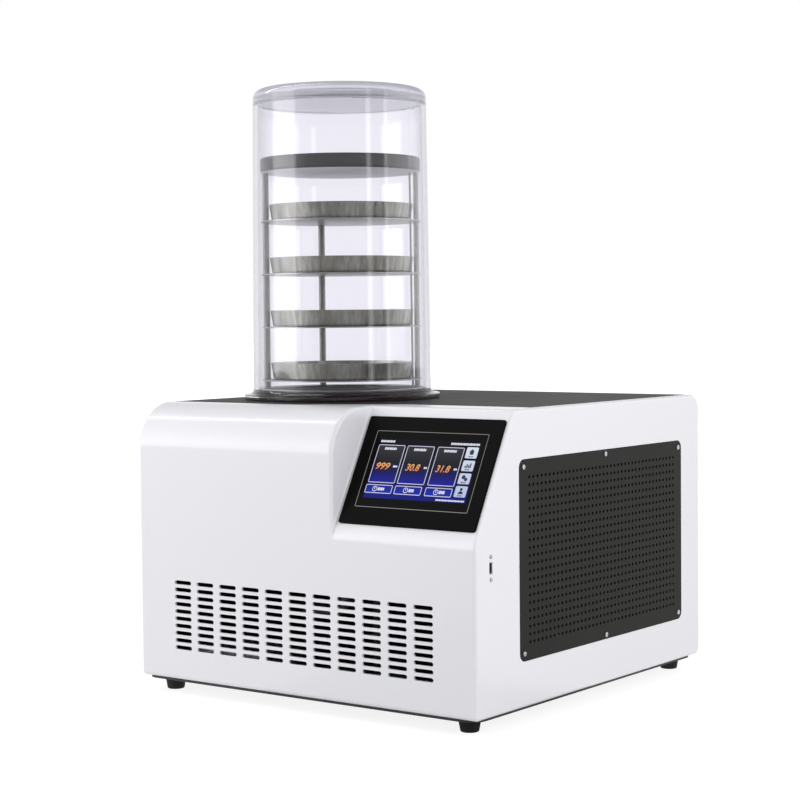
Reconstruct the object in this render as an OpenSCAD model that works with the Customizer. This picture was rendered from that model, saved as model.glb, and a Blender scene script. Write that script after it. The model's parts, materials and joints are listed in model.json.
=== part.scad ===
// Bench-top freeze dryer: housing with a sloped console, clear bell chamber with a tray rack,
// cold trap and the cooling circuit that chills it. Millimetres, +Z up, standing on its feet.
// Pieces are placed in body space: x from the left side, y from the front face and z from the
// white body's lower edge. Chamber pieces are placed from the bell's axis and the top plate.

/* [Body] */
// Width of the white body
body_w = 530; // [440:1:640]
// Depth of the white body
body_d = 543; // [500:1:655]
// Height of the white body without feet
body_h = 356; // [310:1:430]
// Wall of the moulded body
wall = 3; // [2.5:0.1:3.6]
// Radius of the large front-top round
nose_r = 57; // [45:1:60]
// Radius of the rear-top round
rear_top_r = 20; // [12:1:22]
// Radius of the rear-bottom round
rear_bottom_r = 11; // [6:1:14]
// Radius of the vertical corners
corner_r = 5; // [3:0.5:8]
// Thickness of the body's top where the plate is let in
top_t = 7; // [6.5:0.5:9]

/* [Console] */
// Width of the console recess, measured from the right side
console_w = 208.7; // [205:0.1:230]
// Height of the sloped face
console_rise = 151.4; // [148:0.1:170]
// Depth of the sloped face
console_depth = 82.2; // [70:0.1:90]
// Width of the screen bezel
bezel_w = 200; // [170:1:202]
// Height of the screen bezel along the slope
bezel_h = 143; // [120:1:146]
// How far the bezel stands out of the slope
bezel_proud = 2.5; // [1:0.1:4]
// Width of the display glass
glass_w = 165; // [120:0.5:175]
// Height of the display glass
glass_h = 101.5; // [80:0.5:110]
// Border of the bezel below the glass
glass_low = 22.3; // [16:0.1:26]
// Distance from the slope's foot down to the USB socket
usb_drop = 29.9; // [20:0.1:60]

/* [Front slots] */
// Pitch of the slot columns
slot_pitch_x = 38.06; // [34:0.01:44]
// Pitch of the slot rows
slot_pitch_z = 9.35; // [8:0.01:11]
// Length of one slot
slot_len = 28.5; // [20:0.5:30]
// Height of one slot
slot_h = 5.2; // [3:0.1:6]
// Number of slot rows
slot_rows = 10; // [4:1:11]
// Height of the lowest slot row
slot_bottom = 42.4; // [30:0.1:50]
// Least distance from a body side to the first column's centre
slot_margin = 70; // [60:1:80]

/* [Side grille] */
// Distance from the front face to the plate
grille_front = 92.1; // [88:0.1:110]
// Distance from the plate to the rear face
grille_rear = 52.4; // [45:0.1:70]
// Height of the plate's lower edge
grille_bottom = 55.5; // [45:0.1:70]
// Distance from the plate's upper edge to the body's top
grille_top = 60.1; // [50:0.1:80]
// Thickness of the plate
grille_t = 1.5; // [1:0.1:2]
// Diameter of one hole
hole_d = 4; // [3:0.1:5.2]
// Pitch of the holes along the side
hole_pitch_y = 9.08; // [8:0.01:11]
// Pitch of the holes up the side
hole_pitch_z = 9.39; // [8:0.01:11]
// Least distance from the plate's edge to a hole's centre
hole_margin = 20; // [18:0.5:24]

/* [Chamber] */
// Distance from the left side to the bell's rim
bell_left = 18.5; // [10:0.5:30]
// Distance from the front face to the bell's rim
bell_front = 107; // [84:0.5:120]
// Outer radius of the bell at its foot
bell_r = 120; // [100:0.5:130]
// How much smaller the bell's radius is at its top
bell_draft = 3.4; // [1:0.1:5]
// Wall of the bell
bell_wall = 6; // [4:0.5:8]
// Thickness of the bell's top
bell_top_t = 20; // [12:0.5:26]
// Radius of the bell's shoulder
bell_shoulder = 12; // [6:0.5:14]
// Free height above the rack inside the bell
bell_headroom = 72; // [40:1:120]
// How far the bell's foot rim stands out
rim_w = 12; // [9:0.5:14]
// Thickness of the bell's foot rim
rim_t = 4.5; // [3:0.5:6]
// Thickness of the seal under the bell
seal_t = 2.5; // [2:0.1:4]
// Height of the metal deck above the top plate
deck_h = 15; // [12:0.5:18]

/* [Rack and trays] */
// Distance from one shelf to the next
tray_pitch = 70.6; // [50:0.1:90]
// Gap between the rack and the bell
bell_gap = 3; // [2:0.1:8]
// Distance from a shelf's rim to the axis of a post
post_inset = 6.1; // [5:0.1:9]
// Gap between a tray's rim and the posts
tray_gap = 1; // [0.5:0.1:6]
// Height of a tray
tray_h = 22; // [15:0.5:30]
// Wall of a tray
tray_wall = 1.2; // [0.8:0.1:2]
// Height of the lowest shelf's top above the top plate
shelf_bottom = 26.5; // [24:0.5:40]
// Thickness of a shelf
shelf_t = 1.5; // [1:0.1:2.5]
// Radius of a post
post_r = 4.5; // [3:0.1:5]
// Distance from the top shelf to the disc above it
disc_gap = 64.7; // [50:0.1:90]
// Thickness of the disc on top of the rack
disc_t = 19.3; // [10:0.1:25]

/* [Cold trap] */
// Inner radius of the cold trap
trap_r = 65; // [55:0.5:70]
// Depth of the cold trap below its deck
trap_depth = 190; // [120:1:200]
// Wall of the cold trap
trap_wall = 1.5; // [1:0.1:2]
// Foam around the cold trap
foam_t = 38; // [25:1:40]

/* [Feet] */
// Height of a foot
foot_h = 16.5; // [12:0.5:25]
// Top radius of a foot
foot_r = 14; // [12:0.5:16]
// Bottom radius of a foot
foot_tip_r = 11; // [9:0.5:12]
// Thickness of the base plate
base_t = 2.5; // [2:0.1:4]
// Distance from the body's sides to a foot's centre
foot_inset = 31; // [31:0.5:40]

/* [Compressor] */
// Radius of the compressor's shell
comp_r = 70; // [60:1:76]
// Height of the compressor's shell
comp_h = 168; // [140:1:205]

/* [Rear ports] */
// How far the vacuum port reaches out of the rear face
rear_reach = 38; // [30:1:60]
// Bore radius of the vacuum port
port_bore_r = 12.5; // [10:0.1:13]
// Radius of the drain hose tail
tail_r = 5; // [4:0.1:6]

/* [Hidden] */
$fn = 64;

eps = 0.01;
fit_gap = 0.3;
weld_gap = 0.1;
tray_count = 4;
round_bite = 0.005;
fixing_r = 1.5;
fixing_hole_r = 1.6;

base_z = foot_h + base_t;
front_y = -(body_d + rear_reach) / 2;

console_x = body_w - console_w;
console_z = body_h - console_rise;
slope_angle = atan2(console_rise, console_depth);
slope_len = norm([console_rise, console_depth]);
bezel_x = (console_w - bezel_w) / 2;
bezel_s = (slope_len - bezel_h) / 2;
glass_side = (bezel_w - glass_w) / 2;
module_inset = 12;
foot_blend_r = 35;
slope_top_r = 6;

slot_columns = floor((body_w - 2 * slot_margin) / slot_pitch_x) + 1;
slot_left = (body_w - (slot_columns - 1) * slot_pitch_x) / 2;

grille_w = body_d - grille_front - grille_rear;
grille_h = body_h - grille_bottom - grille_top;
grille_corner = 10;
grille_sunk = 1.2;
grille_ledge = 14;
hole_columns = floor((grille_w - 2 * hole_margin) / hole_pitch_y) + 1;
hole_rows = floor((grille_h - 2 * hole_margin) / hole_pitch_z) + 1;
screw_inset = 9;
screw_inset_mid = 5.5;
screw_head_r = 3.2;
screw_head_h = 1.4;
side_x = -(body_w + grille_t - grille_sunk + screw_head_h) / 2;

plate_margin = 6;
plate_t = 4;
plate_ledge = 8;
plate_back_y = 128;
plate_corner = 6;
plate_sweep_left = 107;
plate_sweep_right = 17;
plate_sweep_r = 60;

lip_w = 26;
lip_t = 3;
base_inset = 3;
base_rear_inset = rear_bottom_r + 1;
base_corner = 20;

rear_margin_x = 22;
rear_margin_low = 18;
rear_margin_top = 26;
rear_t = 1.5;
rear_sunk = 1.2;
rear_ledge = 12;
rear_w = body_w - 2 * rear_margin_x;
rear_h = body_h - rear_margin_low - rear_margin_top;
vent_len = 46;
vent_pitch_x = 56;

bar = 15;
rail_clear = 5;
side_rail_x = plate_margin + plate_ledge + 2;
rim_r = bell_r + rim_w;
trap_out_r = trap_r + trap_wall;
foam_r = trap_out_r + foam_t;
chamber_x = max(bell_left + rim_r, side_rail_x + bar + rail_clear + foam_r);
chamber_y = bell_front + rim_r;
flare_r = 8;
shelf_top = shelf_bottom + (tray_count - 1) * tray_pitch;
disc_z = shelf_top + disc_gap;
disc_r = bell_r - bell_draft - bell_wall - bell_gap;
shelf_r = disc_r;
post_ring_r = shelf_r - post_inset;
tray_r = post_ring_r - post_r - tray_gap;
ceiling_z = disc_z + disc_t + bell_headroom;
bell_top = ceiling_z + bell_top_t;
post_angles = [38, 218, 144];
tray_taper = 3.5;

deck_r = bell_r - bell_wall - 5;
foam_top = -plate_t - fit_gap;
trap_floor = deck_h - trap_depth;
foam_split = trap_floor - trap_wall - fit_gap;
foam_floor = foam_split + fit_gap - foam_t;

port_drop = 60;
port_z = body_h - port_drop;
port_out_r = port_bore_r + 1.5;
stub_out = foam_r + 10;

coil_tube_r = 4;
coil_low = trap_floor + 14;
coil_high = -port_drop - port_out_r - coil_tube_r - 4;
coil_turns = floor((coil_high - coil_low) / (2 * coil_tube_r + 0.7));
coil_pitch = (coil_high - coil_low) / coil_turns;
coil_mid_r = trap_out_r + coil_tube_r + 1;
coil_out_r = coil_mid_r + coil_tube_r;
coil_room = 0.8;
coil_sides = 8;
coil_steps = 24;

mid_rail_x = chamber_x + foam_r + 20;
side_rail_y = nose_r + plate_margin + plate_ledge + 4;
mid_rail_y = plate_back_y + plate_ledge + 4;
rear_rail_y = body_d - foot_inset - bar - 8;
rear_pipe_y = rear_rail_y + bar + 7;

cond_depth = 36;
cond_gap = 8;
cond_x = body_w - wall - cond_gap - cond_depth;
cond_y = grille_front + grille_ledge + 4;
cond_w = grille_w - 2 * grille_ledge - 8;
cond_z = grille_bottom + grille_ledge + 2;
cond_h = grille_h - 2 * grille_ledge - 4;
fin_t = 0.5;
fin_pitch = 7;
end_t = 1.5;
end_inset = 3;
fin_first = end_inset + end_t + 3;
fin_count = floor((cond_w - 2 * fin_first - fin_t) / fin_pitch) + 1;
tube_r = 4.8;
tube_pitch = 28;
tube_rows = floor((cond_h - 32) / tube_pitch) + 1;
shroud_depth = 24;
shroud_t = 2;
fan_r = cond_h / 2 - 12;
fan_axis_y = cond_y + cond_w / 2;
fan_axis_z = cond_z + cond_h / 2;
fan_hub_r = 26;
fan_depth = 22;
motor_r = 34;
motor_len = 46;
fan_x = cond_x - shroud_depth - fan_depth + 8;
motor_x = fan_x - motor_len - 4;

comp_lift = 14;
comp_top = comp_lift + comp_h;
comp_dome = 40;
comp_x = chamber_x + 20;
comp_y = rear_rail_y + bar + 11 - comp_r;
comp_plate = [2 * comp_r + 36, 2 * comp_r - 4];
stub_h = 12;
stub_r = 4.6;
suction_at = [comp_x, comp_y - 22];
discharge_at = [comp_x + 22, comp_y + 10];
gas_r = 3.2;
liquid_r = 2.5;
bend_r = 12;

flange_r = 20;
port_nut_r = 20;
port_inside = 20;
pipe_start = chamber_y + stub_out;
pipe_span = body_d - port_inside - pipe_start;
vent_branch_y = pipe_span - 34;
vent_x = chamber_x - 78;
vent_block = 16;
drain_x = chamber_x - 78;
drain_z = 62;
drain_stem_y = 9;
drain_stem_h = 15;
drain_stub = 8;
drain_pipe_r = 5.5;
drain_bore_r = 4;

mains_z = 72;
mains_x = body_w - 110;
outlet_x = body_w - 180;
switch_x = body_w - 235;
fuse_x = body_w - 275;

usb_y = 31.4;
usb_z = console_z - usb_drop;
usb_screw_gap = 26.6;

drier_at = [mid_rail_x + bar + 40, comp_y - 30, 60];
drier_h = 90;
board_at = [mid_rail_x - 50, lip_w - 2, 8];
switch_pivot_y = 1.2;

// ---- helpers ----

// Puts children in body space
module in_body() translate([side_x, front_y, base_z]) children();

// Puts children on the bell's axis, with z counted from the top plate's upper face
module in_chamber() in_body() translate([chamber_x, chamber_y, body_h]) children();

// Turns an outline of (y, z) into a solid that runs along x
module along_x(length) rotate([90, 0, 90]) linear_extrude(length) children();

// Turns an outline of (x, z) into a solid that runs along +y
module along_y(length) translate([0, length, 0]) rotate([90, 0, 0]) linear_extrude(length) children();

// Cylinder along +x or +y
module rod_x(r, length) rotate([0, 90, 0]) cylinder(h = length, r = r);
module rod_y(r, length) rotate([-90, 0, 0]) cylinder(h = length, r = r);

// Rectangle with one radius at all corners
module round_rect(w, h, r) {
    translate([r, 0]) square([w - 2 * r, h]);
    translate([0, r]) square([w, h - 2 * r]);
    for (x = [r, w - r], y = [r, h - r]) translate([x, y]) circle(r);
}

// The scrap outside a round of radius r at corner p, whose edges leave along a and b. The round
// crosses the edges by a hair instead of touching them, so its ends are sharp points.
module corner_scrap(p, a, b, r) {
    ua = a / norm(a);
    ub = b / norm(b);
    half = acos(ua * ub) / 2;
    mid = (ua + ub) / norm(ua + ub);
    difference() {
        polygon([p - mid, p + ua * r / tan(half), p + ub * r / tan(half)]);
        translate(p + mid * (r - round_bite) / sin(half)) circle(r);
    }
}

function unit(v) = v / norm(v);

// How far the bend at point i shortens each leg that meets there
function bend_trim(points, i, bend) =
    let (u = unit(points[i] - points[i - 1]), v = unit(points[i + 1] - points[i]))
    bend * tan(acos(u * v) / 2);

// A bend that starts at p in direction u and turns towards side
module pipe_bend(p, u, side, turn, r, bend) {
    c = p + side * bend;
    up = cross(-side, u);
    multmatrix([
        [-side[0], u[0], up[0], c[0]],
        [-side[1], u[1], up[1], c[1]],
        [-side[2], u[2], up[2], c[2]],
        [0, 0, 0, 1]
    ])
        rotate_extrude(angle = turn) translate([bend, 0]) circle(r);
}

// A pipe of radius r through the given points, with round bends at its corners
module pipe_run(points, r, bend = bend_r) {
    last = len(points) - 1;
    for (i = [0 : last - 1]) {
        u = unit(points[i + 1] - points[i]);
        start = points[i] + (i == 0 ? [0, 0, 0] : u * bend_trim(points, i, bend));
        end = points[i + 1] - (i + 1 == last ? [0, 0, 0] : u * bend_trim(points, i + 1, bend));
        translate(start) rotate([0, acos(u[2]), atan2(u[1], u[0])])
            cylinder(h = norm(end - start), r = r);
    }
    for (i = [1 : last - 1]) {
        u = unit(points[i] - points[i - 1]);
        v = unit(points[i + 1] - points[i]);
        side = unit(v - u * (u * v));
        pipe_bend(points[i] - u * bend_trim(points, i, bend), u, side, acos(u * v), r, bend);
    }
}

// ---- body ----

// Outline of the body's side, with the console's slope left out
module side_outline() {
    difference() {
        square([body_d, body_h]);
        corner_scrap([0, body_h], [1, 0], [0, -1], nose_r);
        corner_scrap([body_d, body_h], [-1, 0], [0, -1], rear_top_r);
        corner_scrap([body_d, 0], [-1, 0], [0, 1], rear_bottom_r);
        corner_scrap([0, 0], [1, 0], [0, 1], 3);
    }
}

// Outline of the body's side through the console
module console_outline() {
    foot = [0, console_z];
    crest = [console_depth, body_h];
    difference() {
        side_outline();
        polygon([[-1, console_z], foot, crest, [console_depth, body_h + 1], [-1, body_h + 1]]);
        corner_scrap(foot, [0, -1], crest - foot, foot_blend_r);
        corner_scrap(crest, [1, 0], foot - crest, slope_top_r);
    }
}

// Inside of the body next to the side outline
module inner_outline() {
    low = lip_t;
    high = body_h - top_t;
    inner_nose = nose_r - wall;
    difference() {
        translate([wall, low]) square([body_d - 2 * wall, high - low]);
        corner_scrap([wall, high], [1, 0], [0, -1], inner_nose);
        corner_scrap([body_d - wall, high], [-1, 0], [0, -1], rear_top_r - wall);
    }
}

// Inside of the body behind the console's slope
module inner_console_outline() {
    normal = [sin(slope_angle), -cos(slope_angle)];
    foot = [0, console_z] + normal * wall;
    crest = [console_depth, body_h] + normal * wall;
    run = crest - foot;
    difference() {
        inner_outline();
        polygon([foot - run, crest + run, [-body_h, 2 * body_h]]);
    }
}

// Outline of the top plate, grown outwards by g
module plate_outline(g) {
    sweep = [plate_sweep_left + plate_sweep_right, plate_back_y - nose_r - plate_margin];
    lean = atan2(sweep[1], sweep[0]);
    left = plate_margin - g;
    right = body_w - plate_margin + g;
    back = body_d - rear_top_r - plate_margin + g;
    p1 = [console_x - plate_sweep_left + g * tan(lean / 2), nose_r + plate_margin - g];
    p2 = [console_x + plate_sweep_right + g * tan(lean / 2), plate_back_y - g];
    r = plate_corner + g;
    difference() {
        polygon([[left, p1[1]], p1, p2, [right, p2[1]], [right, back], [left, back]]);
        corner_scrap([left, p1[1]], [1, 0], [0, 1], max(r, 2));
        corner_scrap([right, p2[1]], [-1, 0], [0, 1], max(r, 2));
        corner_scrap([right, back], [-1, 0], [0, -1], max(r, 2));
        corner_scrap([left, back], [1, 0], [0, -1], max(r, 2));
        corner_scrap(p1, [-1, 0], p2 - p1, plate_sweep_r);
    }
    corner_scrap(p2, p1 - p2, [1, 0], plate_sweep_r);
}

// All the ventilation slots as one flat outline of (x, z)
module slot_field() {
    for (c = [0 : slot_columns - 1], k = [0 : slot_rows - 1])
        translate([slot_left + c * slot_pitch_x, slot_bottom + k * slot_pitch_z]) {
            square([slot_len - slot_h, slot_h], center = true);
            for (s = [-1, 1]) translate([s * (slot_len - slot_h) / 2, 0]) circle(d = slot_h);
        }
}

// Places of the grille's six screws, as (y, z)
function grille_screw_places() = [
    [grille_front + screw_inset, grille_bottom + screw_inset],
    [grille_front + grille_w / 2, grille_bottom + screw_inset_mid],
    [grille_front + grille_w - screw_inset, grille_bottom + screw_inset],
    [grille_front + screw_inset, grille_bottom + grille_h - screw_inset],
    [grille_front + grille_w / 2, grille_bottom + grille_h - screw_inset_mid],
    [grille_front + grille_w - screw_inset, grille_bottom + grille_h - screw_inset]
];

// Places of the rear panel's screws, as (x, z)
function rear_screw_places() = [
    for (x = [rear_margin_x + 6, body_w / 2, body_w - rear_margin_x - 6],
         z = [rear_margin_low + 6, body_h - rear_margin_top - 6]) [x, z]
];

module shell_solid() {
    intersection() {
        union() {
            along_x(console_x) side_outline();
            translate([console_x, 0, 0]) along_x(console_w) console_outline();
        }
        linear_extrude(body_h) round_rect(body_w, body_d, corner_r);
    }
}

module shell_hollow() {
    translate([wall, 0, 0]) along_x(console_x - 2 * wall) inner_outline();
    translate([console_x - wall - 1, 0, 0]) along_x(console_w + 1) inner_console_outline();
}

module outer_shell() {
    color("#ededf1")
    in_body()
    difference() {
        shell_solid();
        shell_hollow();
        // opening in the underside, inside the lip
        translate([lip_w, lip_w, -1]) cube([body_w - 2 * lip_w, body_d - 2 * lip_w, lip_t + 2]);
        // pocket and opening for the top plate
        translate([0, 0, body_h - plate_t]) linear_extrude(plate_t + 1) plate_outline(fit_gap);
        translate([0, 0, body_h - top_t - 1]) linear_extrude(top_t) plate_outline(-plate_ledge);
        // ventilation slots
        translate([0, -1, 0]) along_y(wall + 2) slot_field();
        // pocket and opening for the side grille
        translate([body_w - grille_sunk, grille_front - fit_gap, grille_bottom - fit_gap])
            along_x(grille_sunk + 1)
            round_rect(grille_w + 2 * fit_gap, grille_h + 2 * fit_gap, grille_corner + fit_gap);
        translate([body_w - wall - 1, grille_front + grille_ledge, grille_bottom + grille_ledge])
            along_x(wall + 2)
            round_rect(grille_w - 2 * grille_ledge, grille_h - 2 * grille_ledge, 6);
        for (p = grille_screw_places())
            translate([body_w - wall - 1, p[0], p[1]]) rod_x(fixing_hole_r, wall + 2);
        // pocket and opening for the rear panel
        translate([rear_margin_x - fit_gap, body_d - rear_sunk, rear_margin_low - fit_gap])
            along_y(rear_sunk + 1)
            round_rect(rear_w + 2 * fit_gap, rear_h + 2 * fit_gap, 4 + fit_gap);
        translate([rear_margin_x + rear_ledge, body_d - wall - 1, rear_margin_low + rear_ledge])
            cube([rear_w - 2 * rear_ledge, wall + 2, rear_h - 2 * rear_ledge]);
        for (p = rear_screw_places())
            translate([p[0], body_d - wall - 1, p[1]]) rod_y(fixing_hole_r, wall + 2);
        // opening for the screen in the slope
        on_slope(bezel_x + 10, bezel_s + 10) translate([0, 0, -wall - 2])
            cube([bezel_w - 20, bezel_h - 20, wall + 4]);
        // openings for the USB socket and its screws
        translate([body_w - wall - 1, usb_y - 3.4, usb_z - 7.2]) cube([wall + 2, 6.8, 14.4]);
        for (s = [-1, 1]) translate([body_w - wall - 1, usb_y, usb_z + s * usb_screw_gap / 2])
            rod_x(fixing_hole_r, wall + 2);
    }
}

// Puts children on the console's slope: x across, y up the slope, z out of it
module on_slope(x, s) {
    translate([console_x, 0, console_z]) rotate([slope_angle, 0, 0]) translate([x, s, 0]) children();
}

module top_plate() {
    color("#2b2b2d")
    in_body() translate([0, 0, body_h - plate_t])
    difference() {
        linear_extrude(plate_t) plate_outline(0);
        translate([chamber_x, chamber_y, -1]) cylinder(h = plate_t + 2, r = trap_out_r + 1);
    }
}

module base_plate() {
    color("#38383a")
    in_body() translate([0, 0, -base_t])
    difference() {
        translate([base_inset, base_inset, 0]) linear_extrude(base_t)
            round_rect(body_w - 2 * base_inset, body_d - base_inset - base_rear_inset, base_corner);
        for (p = foot_places()) translate([p[0], p[1], -1]) cylinder(h = base_t + 2, r = 2.7);
        for (i = [0 : 8]) translate([mid_rail_x + 40, 170 + i * 16, -1]) cube([60, 5, base_t + 2]);
    }
}

function foot_places() = [
    for (x = [foot_inset, body_w - foot_inset], y = [foot_inset, body_d - foot_inset]) [x, y]
];

module feet() {
    color("#1c1c1e")
    in_body()
    for (p = foot_places()) translate([p[0], p[1], -base_z])
        difference() {
            rotate_extrude() difference() {
                polygon([[0, 0], [foot_tip_r, 0], [foot_r, foot_h], [0, foot_h]]);
                corner_scrap([foot_tip_r, 0], [-1, 0], [foot_r - foot_tip_r, foot_h], 2);
            }
            translate([0, 0, -1]) cylinder(h = 7, r = 5.5);
            cylinder(h = foot_h + 1, r = 2.7);
        }
}

module foot_bolts() {
    color("#b9bcc0")
    in_body()
    for (p = foot_places()) translate([p[0], p[1], -base_z]) {
        translate([0, 0, 2.6]) cylinder(h = 3.3, r = 4.8);
        translate([0, 0, 5]) cylinder(h = base_z + 1.5, r = 2.5);
        translate([0, 0, base_z + 0.1]) cylinder(h = 4, r = 4.6, $fn = 6);
    }
}

module inner_frame() {
    top = body_h - plate_t - fit_gap;
    color("#8f9398")
    in_body() {
        for (x = [side_rail_x, mid_rail_x]) {
            start = x == side_rail_x ? side_rail_y : mid_rail_y;
            floor_z = (x == side_rail_x ? lip_t : 0) + weld_gap;
            for (y = [start, rear_rail_y])
                translate([x, y, floor_z]) cube([bar, bar, top - floor_z]);
            translate([x, start, top - bar]) cube([bar, rear_rail_y - start + bar, bar]);
        }
        translate([side_rail_x, rear_rail_y, top - bar])
            cube([mid_rail_x - side_rail_x + bar, bar, bar]);
    }
}

// ---- side grille ----

module side_grille() {
    first_y = grille_w / 2 - (hole_columns - 1) * hole_pitch_y / 2;
    first_z = grille_h / 2 - (hole_rows - 1) * hole_pitch_z / 2;
    color("#454545")
    in_body() translate([body_w - grille_sunk, grille_front, grille_bottom])
    along_x(grille_t)
    difference() {
        round_rect(grille_w, grille_h, grille_corner);
        for (c = [0 : hole_columns - 1], k = [0 : hole_rows - 1])
            translate([first_y + c * hole_pitch_y, first_z + k * hole_pitch_z])
                circle(d = hole_d, $fn = 24);
        for (p = grille_screw_places())
            translate(p - [grille_front, grille_bottom]) circle(fixing_hole_r);
    }
}

// Pan-head screw whose head's underside is at z = 0 and whose shank points down
module pan_screw(head_r, head_h, shank_r, shank_len) {
    difference() {
        rotate_extrude() difference() {
            square([head_r, head_h]);
            corner_scrap([head_r, head_h], [-1, 0], [0, -1], head_h * 0.8);
        }
        for (a = [0, 90]) rotate([0, 0, a]) translate([-head_r * 0.55, -0.35, head_h - 0.7])
            cube([head_r * 1.1, 0.7, 2]);
    }
    translate([0, 0, -shank_len]) cylinder(h = shank_len + eps, r = shank_r);
}

module grille_screws() {
    color("#c4c6c9")
    in_body()
    for (p = grille_screw_places())
        translate([body_w - grille_sunk + grille_t, p[0], p[1]]) rotate([0, 90, 0])
            pan_screw(screw_head_r, screw_head_h, fixing_r, wall + 3);
}

// ---- rear panel ----

module rear_panel() {
    color("#e4e4e8")
    in_body() translate([0, body_d - rear_sunk, 0])
    difference() {
        translate([rear_margin_x, 0, rear_margin_low]) along_y(rear_t) round_rect(rear_w, rear_h, 4);
        translate([0, -1, 0]) along_y(rear_t + 2) rear_cuts();
    }
}

// Everything that is cut out of the rear panel, as one outline of (x, z)
module rear_cuts() {
    for (p = rear_screw_places()) translate(p) circle(fixing_hole_r);
    translate([chamber_x, port_z]) circle(port_out_r + 0.5);
    translate([vent_x, port_z]) circle(6.5);
    translate([drain_x, drain_z]) circle(8.5);
    translate([mains_x, mains_z]) square([28, 20.5], center = true);
    translate([outlet_x, mains_z]) square([28, 20.5], center = true);
    translate([switch_x, mains_z]) square([13.5, 20], center = true);
    translate([fuse_x, mains_z]) circle(6.5);
    // rows of short slots that let the warm air out
    vent_left = mid_rail_x + 30;
    vent_columns = floor((body_w - rear_margin_x - rear_ledge - 14 - vent_left) / vent_pitch_x);
    for (c = [0 : vent_columns - 1], k = [0 : 11])
        translate([vent_left + c * vent_pitch_x, 125 + k * 12]) {
            translate([2.5, 0]) square([vent_len - 5, 5]);
            for (x = [2.5, vent_len - 2.5]) translate([x, 2.5]) circle(2.5);
        }
}

module rear_screws() {
    color("#b9bcc0")
    in_body()
    for (p = rear_screw_places())
        translate([p[0], body_d - rear_sunk + rear_t, p[1]]) rotate([-90, 0, 0])
            pan_screw(screw_head_r, screw_head_h, fixing_r, wall + 3);
}

// ---- console ----

// Puts children at the lower left corner of the screen's bezel
module on_bezel() on_slope(bezel_x, bezel_s) children();

module screen_bezel() {
    chamfer = 1.2;
    color("#141417")
    in_body() on_bezel()
    difference() {
        linear_extrude(bezel_proud) round_rect(bezel_w, bezel_h, 4);
        translate([glass_side, glass_low, -1])
            linear_extrude(bezel_proud + 2) round_rect(glass_w, glass_h, 1.5);
        // chamfer around the front edge
        for (side = [0, 1]) {
            translate([bezel_w / 2, side * bezel_h, bezel_proud]) rotate([45, 0, 0])
                cube([bezel_w + 2, chamfer, chamfer], center = true);
            translate([side * bezel_w, bezel_h / 2, bezel_proud]) rotate([0, 45, 0])
                cube([chamfer, bezel_h + 2, chamfer], center = true);
        }
    }
}

module screen_glass() {
    color("#1b2a4a")
    in_body() on_bezel() translate([glass_side + fit_gap, glass_low + fit_gap, 0])
        linear_extrude(bezel_proud - 0.4)
        round_rect(glass_w - 2 * fit_gap, glass_h - 2 * fit_gap, 1.2);
}

module screen_module() {
    w = bezel_w - 2 * module_inset;
    h = bezel_h - 2 * module_inset;
    depth = 30;
    color("#55585c")
    in_body() on_bezel() translate([module_inset, module_inset, -depth])
    difference() {
        cube([w, h, depth - 0.2]);
        // cooling slots in the back and clamp grooves in the sides
        for (k = [0 : 7]) translate([20 + k * 18, 20, -1]) cube([6, h - 40, 3]);
        translate([-1, 10, 6]) cube([3, h - 20, 8]);
        translate([w - 2, 10, 6]) cube([3, h - 20, 8]);
    }
}

module screen_clamps() {
    clamp = [6, 6, 16];
    color("#8f9398")
    in_body() on_bezel()
    for (x = [50, bezel_w - 50 - clamp[0]],
         s = [module_inset - fit_gap - clamp[1], bezel_h - module_inset + fit_gap])
        translate([x, s, -wall - weld_gap - clamp[2]]) cube(clamp);
}

module usb_socket() {
    color("#a9acb0")
    in_body() translate([body_w, usb_y, usb_z])
    difference() {
        union() {
            translate([-14.5, -3, -6.9]) cube([14, 6, 13.8]);
            translate([-wall - 2.1, -5, -17]) cube([2, 10, 34]);
        }
        translate([-12.5, -2.4, -6.2]) cube([14, 4.8, 12.4]);
        for (s = [-1, 1]) translate([-wall - 3, 0, s * usb_screw_gap / 2]) rod_x(fixing_hole_r, 4);
    }
    color("#f2f2f2")
    in_body() translate([body_w - 13, usb_y - 1.9, usb_z - 5.6]) cube([11, 1.9, 11.2]);
}

module usb_screws() {
    color("#c4c6c9")
    in_body()
    for (s = [-1, 1]) translate([body_w, usb_y, usb_z + s * usb_screw_gap / 2]) rotate([0, 90, 0])
        pan_screw(2.6, 1.2, fixing_r, wall + 4);
}

// ---- bell, seal and cold trap ----

module bell_jar() {
    top_r = bell_r - bell_draft;
    rim_top = seal_t + rim_t;
    flare_top = rim_top + flare_r;
    inner_low = [bell_r - bell_wall, flare_top];
    inner_high = [top_r - bell_wall, ceiling_z];
    color([0.85, 0.9, 0.95, 0.35])
    in_chamber()
    rotate_extrude($fn = 128)
    difference() {
        union() {
            polygon([
                [0, seal_t], [bell_r, seal_t], [bell_r, flare_top],
                [top_r, bell_top - bell_shoulder], [top_r - bell_shoulder, bell_top], [0, bell_top]
            ]);
            translate([top_r - bell_shoulder, bell_top - bell_shoulder]) circle(bell_shoulder);
            difference() {
                translate([bell_r - 2, seal_t]) square([rim_w + 2, rim_t]);
                corner_scrap([rim_r, rim_top], [-1, 0], [0, -1], 1.5);
            }
            translate([bell_r - 0.2, 0]) corner_scrap([0, rim_top], [1, 0], [0, 1], flare_r);
        }
        difference() {
            polygon([[0, -1], [inner_low[0], -1], inner_low, inner_high, [0, ceiling_z]]);
            corner_scrap(inner_high, [-1, 0], inner_low - inner_high, 3);
        }
    }
}

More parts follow.
